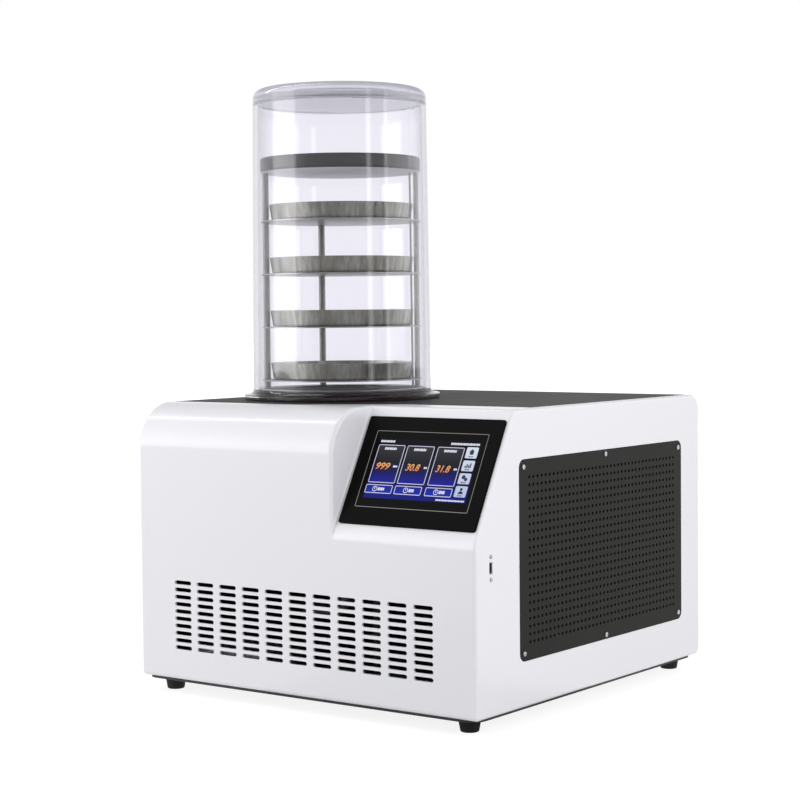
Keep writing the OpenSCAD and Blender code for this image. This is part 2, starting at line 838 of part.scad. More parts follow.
module bell_seal() {
    inner = deck_r + 1;
    bell_in = bell_r - bell_wall;
    lip_h = 6;
    color("#3a1d1a")
    in_chamber()
    rotate_extrude($fn = 128) {
        difference() {
            translate([inner, 0]) square([rim_r - 1 - inner, seal_t]);
            corner_scrap([rim_r - 1, 0], [-1, 0], [0, 1], 1);
        }
        translate([inner, 0]) square([bell_in - fit_gap - inner, seal_t + lip_h]);
    }
}

module cold_trap() {
    color("#c9c9c6")
    in_chamber() {
        difference() {
            rotate_extrude($fn = 128) difference() {
                union() {
                    translate([0, trap_floor - trap_wall])
                        square([trap_out_r, deck_h - trap_floor + trap_wall]);
                    square([deck_r, deck_h]);
                }
                difference() {
                    translate([0, trap_floor]) square([trap_r, trap_depth + 1]);
                    corner_scrap([trap_r, trap_floor], [-1, 0], [0, 1], 12);
                }
                corner_scrap([deck_r, deck_h], [-1, 0], [0, -1], 1.5);
                corner_scrap([trap_r, deck_h], [1, 0], [0, -1], 2);
            }
            translate([0, 0, -port_drop]) rod_y(port_bore_r, trap_out_r + 2);
            translate([0, 0, trap_floor - trap_wall - 1])
                cylinder(h = trap_wall + 2, r = drain_bore_r);
        }
        // stubs for the vacuum pipe and the drain
        translate([0, 0, -port_drop]) difference() {
            rod_y(port_out_r, stub_out);
            translate([0, -1, 0]) rod_y(port_bore_r, stub_out + 2);
            translate([0, 0, -port_out_r - 1])
                cylinder(h = 2 * port_out_r + 2, r = trap_r + trap_wall / 2);
        }
        translate([0, 0, foam_floor - drain_stub]) difference() {
            cylinder(h = trap_floor - trap_wall - foam_floor + drain_stub, r = drain_pipe_r);
            translate([0, 0, -1]) cylinder(h = foam_t + 20, r = drain_bore_r);
        }
    }
}

// A moulded sleeve, wide enough inside to slide up over the coil
module trap_foam() {
    sleeve_low = foam_split + fit_gap;
    color("#d9c9a0")
    in_chamber()
    difference() {
        translate([0, 0, sleeve_low]) cylinder(h = foam_top - sleeve_low, r = foam_r);
        translate([0, 0, sleeve_low - 1])
            cylinder(h = foam_top - sleeve_low + 2, r = coil_out_r + coil_room);
        // ways out for the coil's two ends and the vacuum stub
        for (z = [coil_low, coil_high])
            translate([trap_out_r, 0, z]) rod_x(coil_tube_r + coil_room, foam_r);
        translate([0, 0, -port_drop]) rod_y(port_out_r + fit_gap, foam_r + 20);
    }
}

module trap_foam_base() {
    color("#d9c9a0")
    in_chamber()
    difference() {
        translate([0, 0, foam_floor]) cylinder(h = foam_split - foam_floor, r = foam_r);
        translate([0, 0, foam_floor - 1]) cylinder(h = foam_t + 4, r = drain_pipe_r + fit_gap);
    }
}

// Ring k of the coil's tube: its points lie in the plane across the winding
function coil_ring(k) =
    let (a = 360 * k / coil_steps, z = coil_low + coil_pitch * k / coil_steps)
    [for (j = [0 : coil_sides - 1])
        let (b = 360 * j / coil_sides, r = coil_mid_r + coil_tube_r * cos(b))
        [r * cos(a), r * sin(a), z + coil_tube_r * sin(b)]];

module evaporator_coil() {
    rings = coil_turns * coil_steps;
    points = [for (k = [0 : rings]) each coil_ring(k)];
    sides = [for (k = [0 : rings - 1], j = [0 : coil_sides - 1])
        let (a = k * coil_sides + j, b = k * coil_sides + (j + 1) % coil_sides)
        [a, a + coil_sides, b + coil_sides, b]];
    first = [for (j = [0 : coil_sides - 1]) j];
    last = [for (j = [coil_sides - 1 : -1 : 0]) rings * coil_sides + j];
    color("#b87333")
    in_chamber() polyhedron(points, concat([first, last], sides));
}

// ---- rack and trays ----

// Place of post i on the rack
function post_place(i) = post_ring_r * [cos(post_angles[i]), sin(post_angles[i])];

module rack_posts() {
    color("#b4b4b0")
    in_chamber()
    for (i = [0 : 2]) {
        height = (i == 2 ? shelf_top : disc_z) - deck_h;
        translate([each post_place(i), deck_h]) cylinder(h = height, r = post_r);
    }
}

module rack_disc() {
    color("#47474a")
    in_chamber() translate([0, 0, disc_z])
    rotate_extrude($fn = 128) difference() {
        square([disc_r, disc_t]);
        corner_scrap([disc_r, 0], [-1, 0], [0, 1], 4);
        corner_scrap([disc_r, disc_t], [-1, 0], [0, -1], 4);
    }
}

module shelf(level) {
    color("#bdbdb9")
    in_chamber() translate([0, 0, shelf_bottom + (level - 1) * tray_pitch - shelf_t])
    linear_extrude(shelf_t) difference() {
        circle(shelf_r, $fn = 128);
        for (i = [0 : 2]) translate(post_place(i)) circle(post_r + weld_gap);
    }
}

module shelf_1() { shelf(1); }
module shelf_2() { shelf(2); }
module shelf_3() { shelf(3); }
module shelf_4() { shelf(4); }

module tray(level) {
    low_r = tray_r - tray_taper;
    bend = 4;
    color("#a5a5a2")
    in_chamber() translate([0, 0, shelf_bottom + (level - 1) * tray_pitch])
    rotate_extrude($fn = 128)
    difference() {
        polygon([[0, 0], [low_r, 0], [tray_r, tray_h], [0, tray_h]]);
        corner_scrap([low_r, 0], [-1, 0], [tray_taper, tray_h], bend);
        difference() {
            polygon([
                [0, tray_wall], [low_r - tray_wall, tray_wall],
                [tray_r - tray_wall, tray_h + tray_wall], [0, tray_h + tray_wall]
            ]);
            corner_scrap([low_r - tray_wall, tray_wall], [-1, 0], [tray_taper, tray_h], bend);
        }
    }
}

module tray_1() { tray(1); }
module tray_2() { tray(2); }
module tray_3() { tray(3); }
module tray_4() { tray(4); }

// ---- cooling circuit ----

module compressor() {
    color("#1f1f21")
    in_body() translate([comp_x, comp_y, comp_lift]) {
        rotate_extrude($fn = 96) {
            difference() {
                square([comp_r, comp_h]);
                corner_scrap([comp_r, comp_h], [-1, 0], [0, -1], comp_dome);
                corner_scrap([comp_r, 0], [-1, 0], [0, 1], 20);
            }
            // weld seam around the shell
            translate([comp_r - 3, comp_h * 0.55]) square([7, 4]);
        }
        difference() {
            translate([-comp_plate[0] / 2, -comp_plate[1] / 2, 0]) cube([each comp_plate, 3]);
            for (p = comp_mounts()) translate([each p, -1]) cylinder(h = 5, r = 7);
        }
        // terminal box
        translate([comp_r - 8, -22, 60]) cube([26, 44, 50]);
    }
    color("#b87333")
    in_body()
    for (p = [suction_at, discharge_at]) translate([each p, comp_top - 1]) difference() {
        cylinder(h = stub_h + 1, r = stub_r);
        translate([0, 0, 2]) cylinder(h = stub_h, r = gas_r + 0.05);
    }
}

// Places of the compressor's mounting grommets, from its axis
function comp_mounts() =
    [for (x = [-1, 1], y = [-1, 1]) [x * (comp_plate[0] / 2 - 12), y * (comp_plate[1] / 2 - 12)]];

module compressor_grommets() {
    groove_r = 6.8;
    color("#2c2c2e")
    in_body()
    for (p = comp_mounts()) translate([comp_x + p[0], comp_y + p[1], weld_gap])
        rotate_extrude() difference() {
            square([10, comp_lift + 9]);
            translate([groove_r, comp_lift - weld_gap - 0.2]) square([4, 3.4]);
            translate([0, -1]) square([3, comp_lift + 12]);
        }
}

// Centres of the condenser's tubes as (x, z), in the order in which they are joined
function tube_places() = [
    for (k = [0 : tube_rows - 1], d = [-1, 1])
        [cond_depth / 2 + d * 9, cond_h / 2 + (k - (tube_rows - 1) / 2) * tube_pitch + d * 4]
];

function tube_end(i) =
    let (p = tube_places()[i]) [cond_x + p[0], cond_y + cond_w, cond_z + p[1]];

module condenser_fins() {
    color("#9a9da1")
    in_body()
    for (i = [0 : fin_count - 1])
        translate([cond_x, cond_y + fin_first + i * fin_pitch, cond_z]) along_y(fin_t)
        difference() {
            translate([1, 1]) square([cond_depth - 2, cond_h - 2]);
            for (p = tube_places()) translate(p) circle(tube_r + weld_gap);
        }
}

module condenser_tubes() {
    color("#b87333")
    in_body() translate([cond_x, cond_y, cond_z])
    for (p = tube_places()) translate([p[0], 0, p[1]]) rod_y(tube_r, cond_w);
}

// Return bends that join the tubes' ends, at the front and the rear by turns
module condenser_bends() {
    places = tube_places();
    color("#b87333")
    in_body() translate([cond_x, cond_y, cond_z])
    for (i = [0 : len(places) - 2]) {
        a = [places[i][0], i % 2 == 0 ? 0 : cond_w, places[i][1]];
        step = [places[i + 1][0] - a[0], 0, places[i + 1][1] - a[2]];
        pipe_bend(a, [0, i % 2 == 0 ? -1 : 1, 0], unit(step), 180, tube_r, norm(step) / 2);
    }
}

module condenser_ends() {
    low = lip_t + weld_gap - cond_z;
    color("#a7aab0")
    in_body() translate([cond_x, cond_y, cond_z])
    for (y = [end_inset, cond_w - end_inset - end_t]) translate([0, y, 0]) along_y(end_t)
    difference() {
        translate([-1, low]) square([cond_depth + 2, cond_h - low]);
        for (p = tube_places()) translate(p) circle(tube_r + weld_gap);
    }
}

module fan_shroud() {
    w = cond_w - 4;
    color("#2f3133")
    in_body() translate([cond_x - 1.2 - shroud_depth, cond_y + 2, cond_z])
    difference() {
        cube([shroud_depth, w, cond_h]);
        translate([shroud_t, shroud_t, shroud_t])
            cube([shroud_depth, w - 2 * shroud_t, cond_h - 2 * shroud_t]);
        translate([-1, w / 2, cond_h / 2]) rod_x(fan_r + 4, shroud_depth);
    }
}

module fan_motor() {
    arm_w = 10;
    arm_t = 3;
    arm_r = fan_r + 8;
    shroud_x = cond_x - 1.2 - shroud_depth;
    color("#6d7074")
    in_body() translate([motor_x, fan_axis_y, fan_axis_z]) {
        rod_x(motor_r, motor_len);
        rod_x(4, motor_len + 14);
        // four arms that reach around the blades to the shroud's plate
        for (a = [45, 135, 225, 315]) rotate([a, 0, 0]) {
            translate([motor_len - 8, -arm_w / 2, 0]) cube([arm_t, arm_w, arm_r]);
            translate([motor_len - 8, -arm_w / 2, arm_r - arm_t])
                cube([shroud_x - motor_x - motor_len + 8 - weld_gap, arm_w, arm_t]);
        }
    }
}

module fan_rotor() {
    blade_pitch = 32;
    blade_in = 1;
    color("#303236")
    in_body() translate([fan_x, fan_axis_y, fan_axis_z]) {
        difference() {
            rod_x(fan_hub_r, fan_depth);
            translate([-1, 0, 0]) rod_x(4.05, 12);
            translate([fan_depth - 8, 0, 0]) rod_x(fan_hub_r - 3, 10);
        }
        for (i = [0 : 6]) rotate([i * 360 / 7, 0, 0]) intersection() {
            translate([fan_depth / 2, 0, 0]) rotate([0, 0, blade_pitch]) translate([-1, -40, 0])
                cube([2, 80, fan_r]);
            difference() {
                rod_x(fan_r - 3, fan_depth);
                translate([-1, 0, 0]) rod_x(fan_hub_r - 1, fan_depth + 2);
            }
            translate([blade_in, -24, 0]) cube([fan_depth - 2 * blade_in, 48, fan_r]);
        }
    }
}

module filter_drier() {
    neck_r = 4;
    can_r = 12;
    color("#b87333")
    in_body() translate(drier_at)
    rotate_extrude() polygon([
        [0, 0], [neck_r, 0], [can_r, 12], [can_r, drier_h - 12], [neck_r, drier_h], [0, drier_h]
    ]);
}

// From the compressor's head to the condenser's upper tube
module discharge_pipe() {
    goal = tube_end(2 * tube_rows - 1);
    color("#b87333")
    in_body() pipe_run([
        [each discharge_at, comp_top + 2], [each discharge_at, goal[2]],
        [discharge_at[0], rear_pipe_y, goal[2]], [goal[0], rear_pipe_y, goal[2]],
        goal + [0, weld_gap, 0]
    ], gas_r);
}

// From the upper end of the trap's coil back to the compressor
module suction_pipe() {
    start = [chamber_x + coil_out_r + 0.5, chamber_y, body_h + coil_high];
    out_x = chamber_x + foam_r + 8;
    color("#b87333")
    in_body() pipe_run([
        start, [out_x, start[1], start[2]], [out_x, suction_at[1], start[2]],
        [each suction_at, start[2]], [each suction_at, comp_top + 2]
    ], gas_r);
}

// From the condenser's lower tube through the drier to the lower end of the trap's coil
module liquid_pipe() {
    start = tube_end(0);
    goal = [chamber_x + coil_out_r + 0.5, chamber_y, body_h + coil_low];
    low = 30;
    color("#b87333")
    in_body() {
        pipe_run([
            start + [0, weld_gap, 0], [start[0], rear_pipe_y, start[2]],
            [drier_at[0], rear_pipe_y, start[2]], [drier_at[0], rear_pipe_y, low],
            [drier_at[0], drier_at[1], low], drier_at - [0, 0, weld_gap]
        ], liquid_r);
        pipe_run([
            drier_at + [0, 0, drier_h + weld_gap], [drier_at[0], drier_at[1], goal[2]],
            [drier_at[0], goal[1], goal[2]], goal
        ], liquid_r);
    }
}

// ---- vacuum, vent and drain ----

module vacuum_port() {
    neck = port_inside + rear_reach;
    color("#c4c6c9")
    in_body() translate([chamber_x, body_d - port_inside, port_z])
    difference() {
        union() {
            rod_y(port_out_r, neck - 5);
            translate([0, port_inside - rear_sunk - weld_gap - 4, 0]) rod_y(port_nut_r, 4);
            translate([0, port_inside - rear_sunk + rear_t + weld_gap, 0]) rod_y(flange_r + 2, 3);
            // flange with a sloped back for a clamp ring
            translate([0, neck - 6, 0]) rotate([-90, 0, 0]) rotate_extrude()
                polygon([[0, 0], [port_out_r, 0], [flange_r, 3], [flange_r, 6], [0, 6]]);
        }
        translate([0, -1, 0]) rod_y(port_bore_r, neck + 2);
    }
}

module vacuum_pipe() {
    branch = chamber_x - vent_x - vent_block / 2 - weld_gap;
    color("#c4c6c9")
    in_body() translate([chamber_x, pipe_start, port_z])
    difference() {
        union() {
            rod_y(port_out_r, pipe_span);
            translate([0, vent_branch_y, 0]) rotate([0, -90, 0]) cylinder(h = branch, r = 6);
            translate([0, pipe_span / 2, 0]) cylinder(h = 24, r = 7);
        }
        translate([0, -1, 0]) rod_y(port_bore_r, pipe_span + 2);
        translate([0, vent_branch_y, 0]) rotate([0, -90, 0]) cylinder(h = branch + 1, r = 4);
        translate([0, pipe_span / 2, 0]) cylinder(h = 30, r = 5);
    }
}

module pressure_sensor() {
    color("#5b6b86")
    in_body() translate([chamber_x, pipe_start + pipe_span / 2, port_z + 24 + weld_gap]) {
        cylinder(h = 16, r = 11);
        translate([-6, -8, 0]) cube([34, 16, 14]);
    }
}

module vent_valve() {
    block_y = pipe_start + vent_branch_y - body_d;
    color("#c8a24a")
    in_body() translate([vent_x, body_d, port_z]) difference() {
        union() {
            translate([-vent_block / 2, block_y - vent_block / 2, -vent_block / 2])
                cube(vent_block);
            translate([0, block_y, 0]) rod_y(6, 8 - block_y);
            translate([0, -rear_sunk - weld_gap - 4, 0]) rotate([-90, 0, 0])
                cylinder(h = 4, r = 9, $fn = 6);
            translate([0, rear_t - rear_sunk + weld_gap, 0]) rod_y(10, 4);
        }
        // bore of the valve and seat of the knob's spindle
        translate([0, block_y, 0]) rod_y(2.5, 20 - block_y);
        translate([0, 4, 0]) rod_y(4, 10);
        translate([0, block_y, 0]) rotate([0, 90, 0]) cylinder(h = 20, r = 4);
    }
}

module vent_knob() {
    color("#202022")
    in_body() translate([vent_x, body_d + 9, port_z]) {
        rotate([-90, 0, 0]) difference() {
            rotate_extrude() difference() {
                square([13, 14]);
                corner_scrap([13, 14], [-1, 0], [0, -1], 2);
            }
            for (a = [0 : 30 : 330]) rotate([0, 0, a]) translate([14, 0, -1]) cylinder(h = 17, r = 2.2);
        }
        translate([0, -4.5, 0]) rod_y(3.95, 5);
    }
}

module drain_valve() {
    color("#c8a24a")
    in_body() translate([drain_x, body_d, drain_z]) difference() {
        union() {
            translate([0, -30, 0]) rod_y(8, 34);
            translate([0, -rear_sunk - weld_gap - 5, 0]) rotate([-90, 0, 0])
                cylinder(h = 5, r = 12, $fn = 6);
            translate([0, rear_t - rear_sunk + weld_gap, 0]) rotate([-90, 0, 0])
                cylinder(h = 14, r = 12, $fn = 6);
            // hose tail with a small lead-in at its end
            translate([0, 10, 0]) rod_y(tail_r, rear_reach - 13);
            translate([0, rear_reach - 3, 0]) rotate([-90, 0, 0]) rotate_extrude()
                polygon([[0, 0], [tail_r, 0], [tail_r, 2], [tail_r - 1, 3], [0, 3]]);
            translate([0, drain_stem_y, 0]) cylinder(h = drain_stem_h, r = 4.5);
        }
        translate([0, -31, 0]) rod_y(3, rear_reach + 40);
    }
}

module drain_lever() {
    color("#b3202a")
    in_body() translate([drain_x, body_d + drain_stem_y, drain_z + drain_stem_h + weld_gap]) {
        cylinder(h = 4, r = 7);
        translate([0, -5, 0]) cube([38, 10, 3]);
        translate([38, 0, 0]) cylinder(h = 3, r = 5);
        translate([0, 0, 4]) cylinder(h = 2.5, r = 3.5, $fn = 6);
    }
}

module drain_pipe() {
    stub_low = body_h + foam_floor - drain_stub;
    color("#d8d8da")
    in_body() pipe_run([
        [chamber_x, chamber_y, stub_low - weld_gap], [chamber_x, chamber_y, drain_z],
        [drain_x, chamber_y, drain_z], [drain_x, body_d - 30 - weld_gap, drain_z]
    ], drain_pipe_r, 16);
}

// ---- electrics ----

module control_board() {
    color("#1d5c3a")
    in_body() translate(board_at) cube([150, 84, 1.6]);
    color("#c9c9c9")
    in_body() translate(board_at) {
        for (x = [6, 144], y = [6, 78]) translate([x, y, -7.9]) cylinder(h = 8.5, r = 3);
        for (i = [0 : 3]) translate([14 + i * 22, 8, 1.5]) cube([18, 14, 16]);
        for (i = [0 : 4]) translate([12 + i * 26, 62, 1.5]) cube([20, 12, 11]);
        for (i = [0 : 2]) translate([112 + i * 12, 34, 1.5]) cylinder(h = 14, r = 5);
        translate([50, 32, 1.5]) cube([28, 20, 2.5]);
    }
}

module power_supply() {
    color("#aeb1b5")
    in_body() translate([side_rail_x + bar + 10, lip_w + 1, weld_gap])
    difference() {
        cube([150, 98, 40]);
        for (i = [0 : 9], j = [0 : 5]) translate([16 + i * 13, 16 + j * 13, 38]) cylinder(h = 3, r = 3);
        translate([-1, 8, 10]) cube([9, 82, 22]);
    }
}

// Snap-in socket body behind the rear panel, with its face on it
module socket_body() {
    translate([-15.5, rear_t - rear_sunk + weld_gap, -14]) cube([31, 2.5, 28]);
    translate([-13.6, -22, -9.9]) cube([27.2, 22 + 1, 19.8]);
}

module mains_inlet() {
    color("#18181a")
    in_body() translate([mains_x, body_d, mains_z])
    difference() {
        socket_body();
        translate([-12, -15, -8]) cube([24, 19, 16]);
    }
    color("#c4c6c9")
    in_body() translate([mains_x, body_d, mains_z])
    for (x = [-7, 0, 7]) translate([x - 1, -16, (x == 0 ? 3 : -1) - 2]) cube([2, 14, 4]);
}

module pump_outlet() {
    color("#18181a")
    in_body() translate([outlet_x, body_d, mains_z])
    difference() {
        socket_body();
        for (x = [-7, 0, 7]) translate([x - 1.3, -14, (x == 0 ? 3 : -1) - 2.3]) cube([2.6, 18, 4.6]);
    }
}

module fuse_holder() {
    color("#18181a")
    in_body() translate([fuse_x, body_d, mains_z]) {
        translate([0, rear_t - rear_sunk + weld_gap, 0]) rod_y(8.5, 3);
        translate([0, -26, 0]) rod_y(6.2, 27);
        translate([0, 3, 0]) rod_y(6, 5);
    }
}

module switch_frame() {
    color("#18181a")
    in_body() translate([switch_x, body_d, mains_z])
    difference() {
        union() {
            translate([-9.5, rear_t - rear_sunk + weld_gap, -13]) cube([19, 2, 26]);
            translate([-6.6, -18, -9.8]) cube([13.2, 19, 19.6]);
        }
        translate([-5.2, -8, -8.6]) cube([10.4, 12, 17.2]);
        translate([-6.4, switch_pivot_y, 0]) rod_x(1.05, 12.8);
    }
}

module switch_rocker() {
    rest_tilt = 9;
    color("#1f6e34")
    in_body() translate([switch_x, body_d + switch_pivot_y, mains_z]) rotate([rest_tilt, 0, 0]) {
        translate([-4.8, 0, 0]) along_x(9.6)
            polygon([[-4, -5], [-4, 5], [3.6, 7.8], [2.4, 0], [3.6, -7.8]]);
        translate([-6.2, 0, 0]) rod_x(1, 12.4);
    }
}

outer_shell();
top_plate();
base_plate();
rear_panel();
rear_screws();
inner_frame();
feet();
foot_bolts();
side_grille();
grille_screws();
screen_bezel();
screen_glass();
screen_module();
screen_clamps();
usb_socket();
usb_screws();
bell_jar();
bell_seal();
cold_trap();
trap_foam();
trap_foam_base();
evaporator_coil();
rack_posts();
rack_disc();
shelf_1();
shelf_2();
shelf_3();
shelf_4();
tray_1();
tray_2();
tray_3();
tray_4();
compressor();
compressor_grommets();
condenser_fins();
condenser_tubes();
condenser_bends();
condenser_ends();
fan_shroud();
fan_motor();
fan_rotor();
filter_drier();
discharge_pipe();
suction_pipe();
liquid_pipe();
vacuum_port();
vacuum_pipe();
pressure_sensor();
vent_valve();
vent_knob();
drain_valve();
drain_lever();
drain_pipe();
control_board();
power_supply();
mains_inlet();
pump_outlet();
fuse_holder();
switch_frame();
switch_rocker();
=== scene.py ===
# %% [markdown]
# # A bench-top freeze dryer
#
# The machine's frame comes from a solid model that is already packed: every part is there, in its
# place and at its real size. This lesson gives each part its finish, and rebuilds the parts whose
# soft edges, cut-outs or printed picture a plain solid doesn't show.

# %% Load the frame
import json
import math

import bmesh
import bpy
from mathutils import Matrix, Vector


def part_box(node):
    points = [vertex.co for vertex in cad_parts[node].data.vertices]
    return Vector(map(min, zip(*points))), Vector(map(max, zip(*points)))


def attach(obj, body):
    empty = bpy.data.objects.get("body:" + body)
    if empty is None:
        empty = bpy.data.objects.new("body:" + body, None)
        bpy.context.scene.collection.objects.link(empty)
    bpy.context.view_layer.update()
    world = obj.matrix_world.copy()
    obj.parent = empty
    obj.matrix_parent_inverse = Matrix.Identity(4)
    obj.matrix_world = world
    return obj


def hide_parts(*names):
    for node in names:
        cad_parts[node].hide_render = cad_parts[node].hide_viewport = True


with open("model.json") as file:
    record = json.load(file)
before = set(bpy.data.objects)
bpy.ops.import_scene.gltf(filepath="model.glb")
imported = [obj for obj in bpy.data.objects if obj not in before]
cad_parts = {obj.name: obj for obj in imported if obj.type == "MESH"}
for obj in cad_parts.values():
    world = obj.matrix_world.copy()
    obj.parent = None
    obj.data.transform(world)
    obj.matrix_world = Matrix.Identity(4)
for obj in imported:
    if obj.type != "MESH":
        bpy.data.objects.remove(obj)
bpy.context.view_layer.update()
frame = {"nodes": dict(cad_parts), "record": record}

# %% [markdown]
# ## Where things are
#
# Sizes are written in millimetres, as on a drawing, and turned to metres in one place. Body space
# starts at the white body's lower front left corner. Chamber space stands on the bell's axis, and
# its height is counted from the top plate. Both corners are read from the frame.

# %% Two spaces
MM = 0.001
body_low, body_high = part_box("outer_shell")
bell_low, bell_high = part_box("bell_jar")
body_w, body_d, body_h = ((body_high - body_low) / MM)[:]
chamber = Vector(((bell_low.x + bell_high.x) / 2, (bell_low.y + bell_high.y) / 2, body_high.z))


def in_body(x, y, z):
    return body_low + Vector((x, y, z)) * MM


def in_chamber(x, y, z):
    return chamber + Vector((x, y, z)) * MM


scene = bpy.context.scene


def new_object(name, data):
    made = bpy.data.objects.new(name, data)
    scene.collection.objects.link(made)
    return made


print("body %.0f x %.0f x %.0f mm" % (body_w, body_d, body_h))

# %% [markdown]
# ## The camera
#
# The machine is seen from its front right corner, a little above its middle, through a long lens
# that keeps its upright edges nearly parallel. The walls of the studio and the floor are laid out
# later round the way that it looks.

# %% Camera
camera_data = bpy.data.cameras.new("camera")
camera = new_object("camera", camera_data)
scene.camera = camera
camera_data.lens = 86.1
camera_data.sensor_width = 36
camera_data.clip_start, camera_data.clip_end = 0.1, 60
turn, dip, roll = math.radians(36.60), math.radians(2.60), math.radians(0.54)
ahead = Vector((-math.sin(turn) * math.cos(dip), math.cos(turn) * math.cos(dip), -math.sin(dip)))
level = ahead.cross(Vector((0, 0, 1))).normalized()
down = ahead.cross(level)
right = math.cos(roll) * level + math.sin(roll) * down
up = math.sin(roll) * level - math.cos(roll) * down
eye = in_body(1758, -1795, 470)
camera.matrix_world = Matrix.Translation(eye) @ Matrix((right, up, -ahead)).transposed().to_4x4()
print("camera at", [round(v, 3) for v in camera.location])


# %% [markdown]
# ## Shader sums as Python sums
#
# A finish is a tree of small nodes. Wiring them by hand hides what is meant, so a socket is wrapped
# in a class on which plus, minus and times write the Math nodes. Every other node comes from one
# method, which takes the node's kind, its settings and the values or wires of its sockets. The sky
# is such a tree too, so both kinds share one class.

# %% One way of making nodes
def step(tree, kind, settings, values, out=0):
    """Adds a node. Settings come first, then the values or links of its sockets."""
    made = tree.nodes.new(kind)
    for name, value in settings.items():
        if name == "stops":
            for i, (at, colour) in enumerate(value):
                stop = made.color_ramp.elements[i] if i < 2 else made.color_ramp.elements.new(at)
                stop.position, stop.color = at, (*colour, 1)
        else:
            setattr(made, name, value)
    for key, value in values.items():
        if isinstance(value, bpy.types.NodeSocket):
            tree.links.new(value, made.inputs[key])
        elif value is not None:
            made.inputs[key].default_value = value
    return made.outputs[out]


# %% A wire that can be added and multiplied
class Wire:
    def __init__(self, owner, socket):
        self.owner, self.socket = owner, socket

    def sum(self, operation, first, second):
        return self.owner.node("ShaderNodeMath", {"operation": operation}, {0: first, 1: second})

    def __add__(self, other): return self.sum("ADD", self, other)
    def __radd__(self, other): return self.sum("ADD", other, self)
    def __sub__(self, other): return self.sum("SUBTRACT", self, other)
    def __rsub__(self, other): return self.sum("SUBTRACT", other, self)
    def __mul__(self, other): return self.sum("MULTIPLY", self, other)
    def __rmul__(self, other): return self.sum("MULTIPLY", other, self)
    def __truediv__(self, other): return self.sum("DIVIDE", self, other)
    def __gt__(self, other): return self.sum("GREATER_THAN", self, other)
    def __lt__(self, other): return self.sum("LESS_THAN", self, other)
    def largest(self, other): return self.sum("MAXIMUM", self, other)
    def smallest(self, other): return self.sum("MINIMUM", self, other)
    def power(self, other): return self.sum("POWER", self, other)
    def angle_to(self, other): return self.sum("ARCTAN2", self, other)


# %% A tree of nodes
class Tree:
    def __init__(self, tree, space):
        self.tree = tree
        self.place = self.node("ShaderNodeTexCoord", {}, {}, space)

    def node(self, kind, settings, values, out=0):
        values = {k: v.socket if isinstance(v, Wire) else v for k, v in values.items()}
        return Wire(self, step(self.tree, kind, settings, values, out))

    def rays(self, *names):
        """Wires that tell what kind of light asks for the colour."""
        path = self.tree.nodes.new("ShaderNodeLightPath")
        return [Wire(self, path.outputs[name]) for name in names]

    def noise(self, scale, stretch=(1, 1, 1), detail=3.0, roughness=0.5):
        where = self.place
        if stretch != (1, 1, 1):
            where = self.node("ShaderNodeMapping", {}, {"Vector": where, "Scale": stretch})
        return self.node("ShaderNodeTexNoise", {}, {
            "Vector": where, "Scale": scale, "Detail": detail, "Roughness": roughness})

    def blend(self, share, first, second):
        def four(c):
            return (*c, 1) if isinstance(c, tuple) and len(c) == 3 else c
        return self.node("ShaderNodeMix", {"data_type": "RGBA"},
                         {0: share, 6: four(first), 7: four(second)}, 2)

    def along(self, direction):
        return self.node("ShaderNodeVectorMath", {"operation": "DOT_PRODUCT"},
                         {0: self.place, 1: tuple(direction)}, "Value")

    def ramp(self, value, stops):
        return self.node("ShaderNodeValToRGB", {"stops": stops}, {"Fac": value})


# %% A finish is a tree with a shader
class Finish(Tree):
    def __init__(self, name, **constants):
        self.material = bpy.data.materials.new(name)
        self.material.use_nodes = True
        super().__init__(self.material.node_tree, "Object")
        self.shader = self.tree.nodes["Principled BSDF"]
        for name, value in constants.items():
            self.shader.inputs[name.replace("_", " ")].default_value = value

    def drive(self, name, wire):
        self.tree.links.new(wire.socket, self.shader.inputs[name])

    def bump(self, height, depth_mm, strength=1.0):
        self.drive("Normal", self.node("ShaderNodeBump", {}, {
            "Height": height, "Distance": depth_mm * MM, "Strength": strength}))

    def swap(self, share, other):
        """Puts another shader in the first one's place where the share is 1."""
        both = self.node("ShaderNodeMixShader", {}, {
            0: share, 1: self.shader.outputs[0], 2: other})
        self.tree.links.new(both.socket, self.tree.nodes["Material Output"].inputs["Surface"])


print("a finish can:", *[name for name in dir(Finish) if not name.startswith("_")])


# %% [markdown]
# ## The kinds of finish
#
# Most parts are painted, moulded, rolled or turned. Each kind has a large, faint variation of tone,
# a fine grain that moves the roughness, and a bump at the grain's real depth. Numbers that are the
# same all over a part sit on the shader's own sockets. The noise filter takes a surface for a
# mirror below a roughness of about 0.27, and a finish that wanders across that value comes out
# speckled, so the plain finishes stay clear of it.

# %% Moulded and painted finishes
def shade(colour, by):
    return tuple(min(1.0, c * by) for c in colour)


def coated(name, colour, rough, peel, depth, spread=0.05, patch=9, uneven=1.0, **constants):
    """Paint or moulded plastic: a broad drift of tone, and a skin with a soft peel.
    uneven is how much the gloss varies."""
    f = Finish(name, **constants)
    drift = f.noise(patch, detail=4)
    skin = f.noise(peel, detail=2)
    f.drive("Base Color", f.blend(drift, shade(colour, 1 - spread), shade(colour, 1 + spread)))
    f.drive("Roughness", rough + (drift - 0.5) * (0.12 * uneven) + (skin - 0.5) * (0.08 * uneven))
    f.bump(skin, depth)
    return f


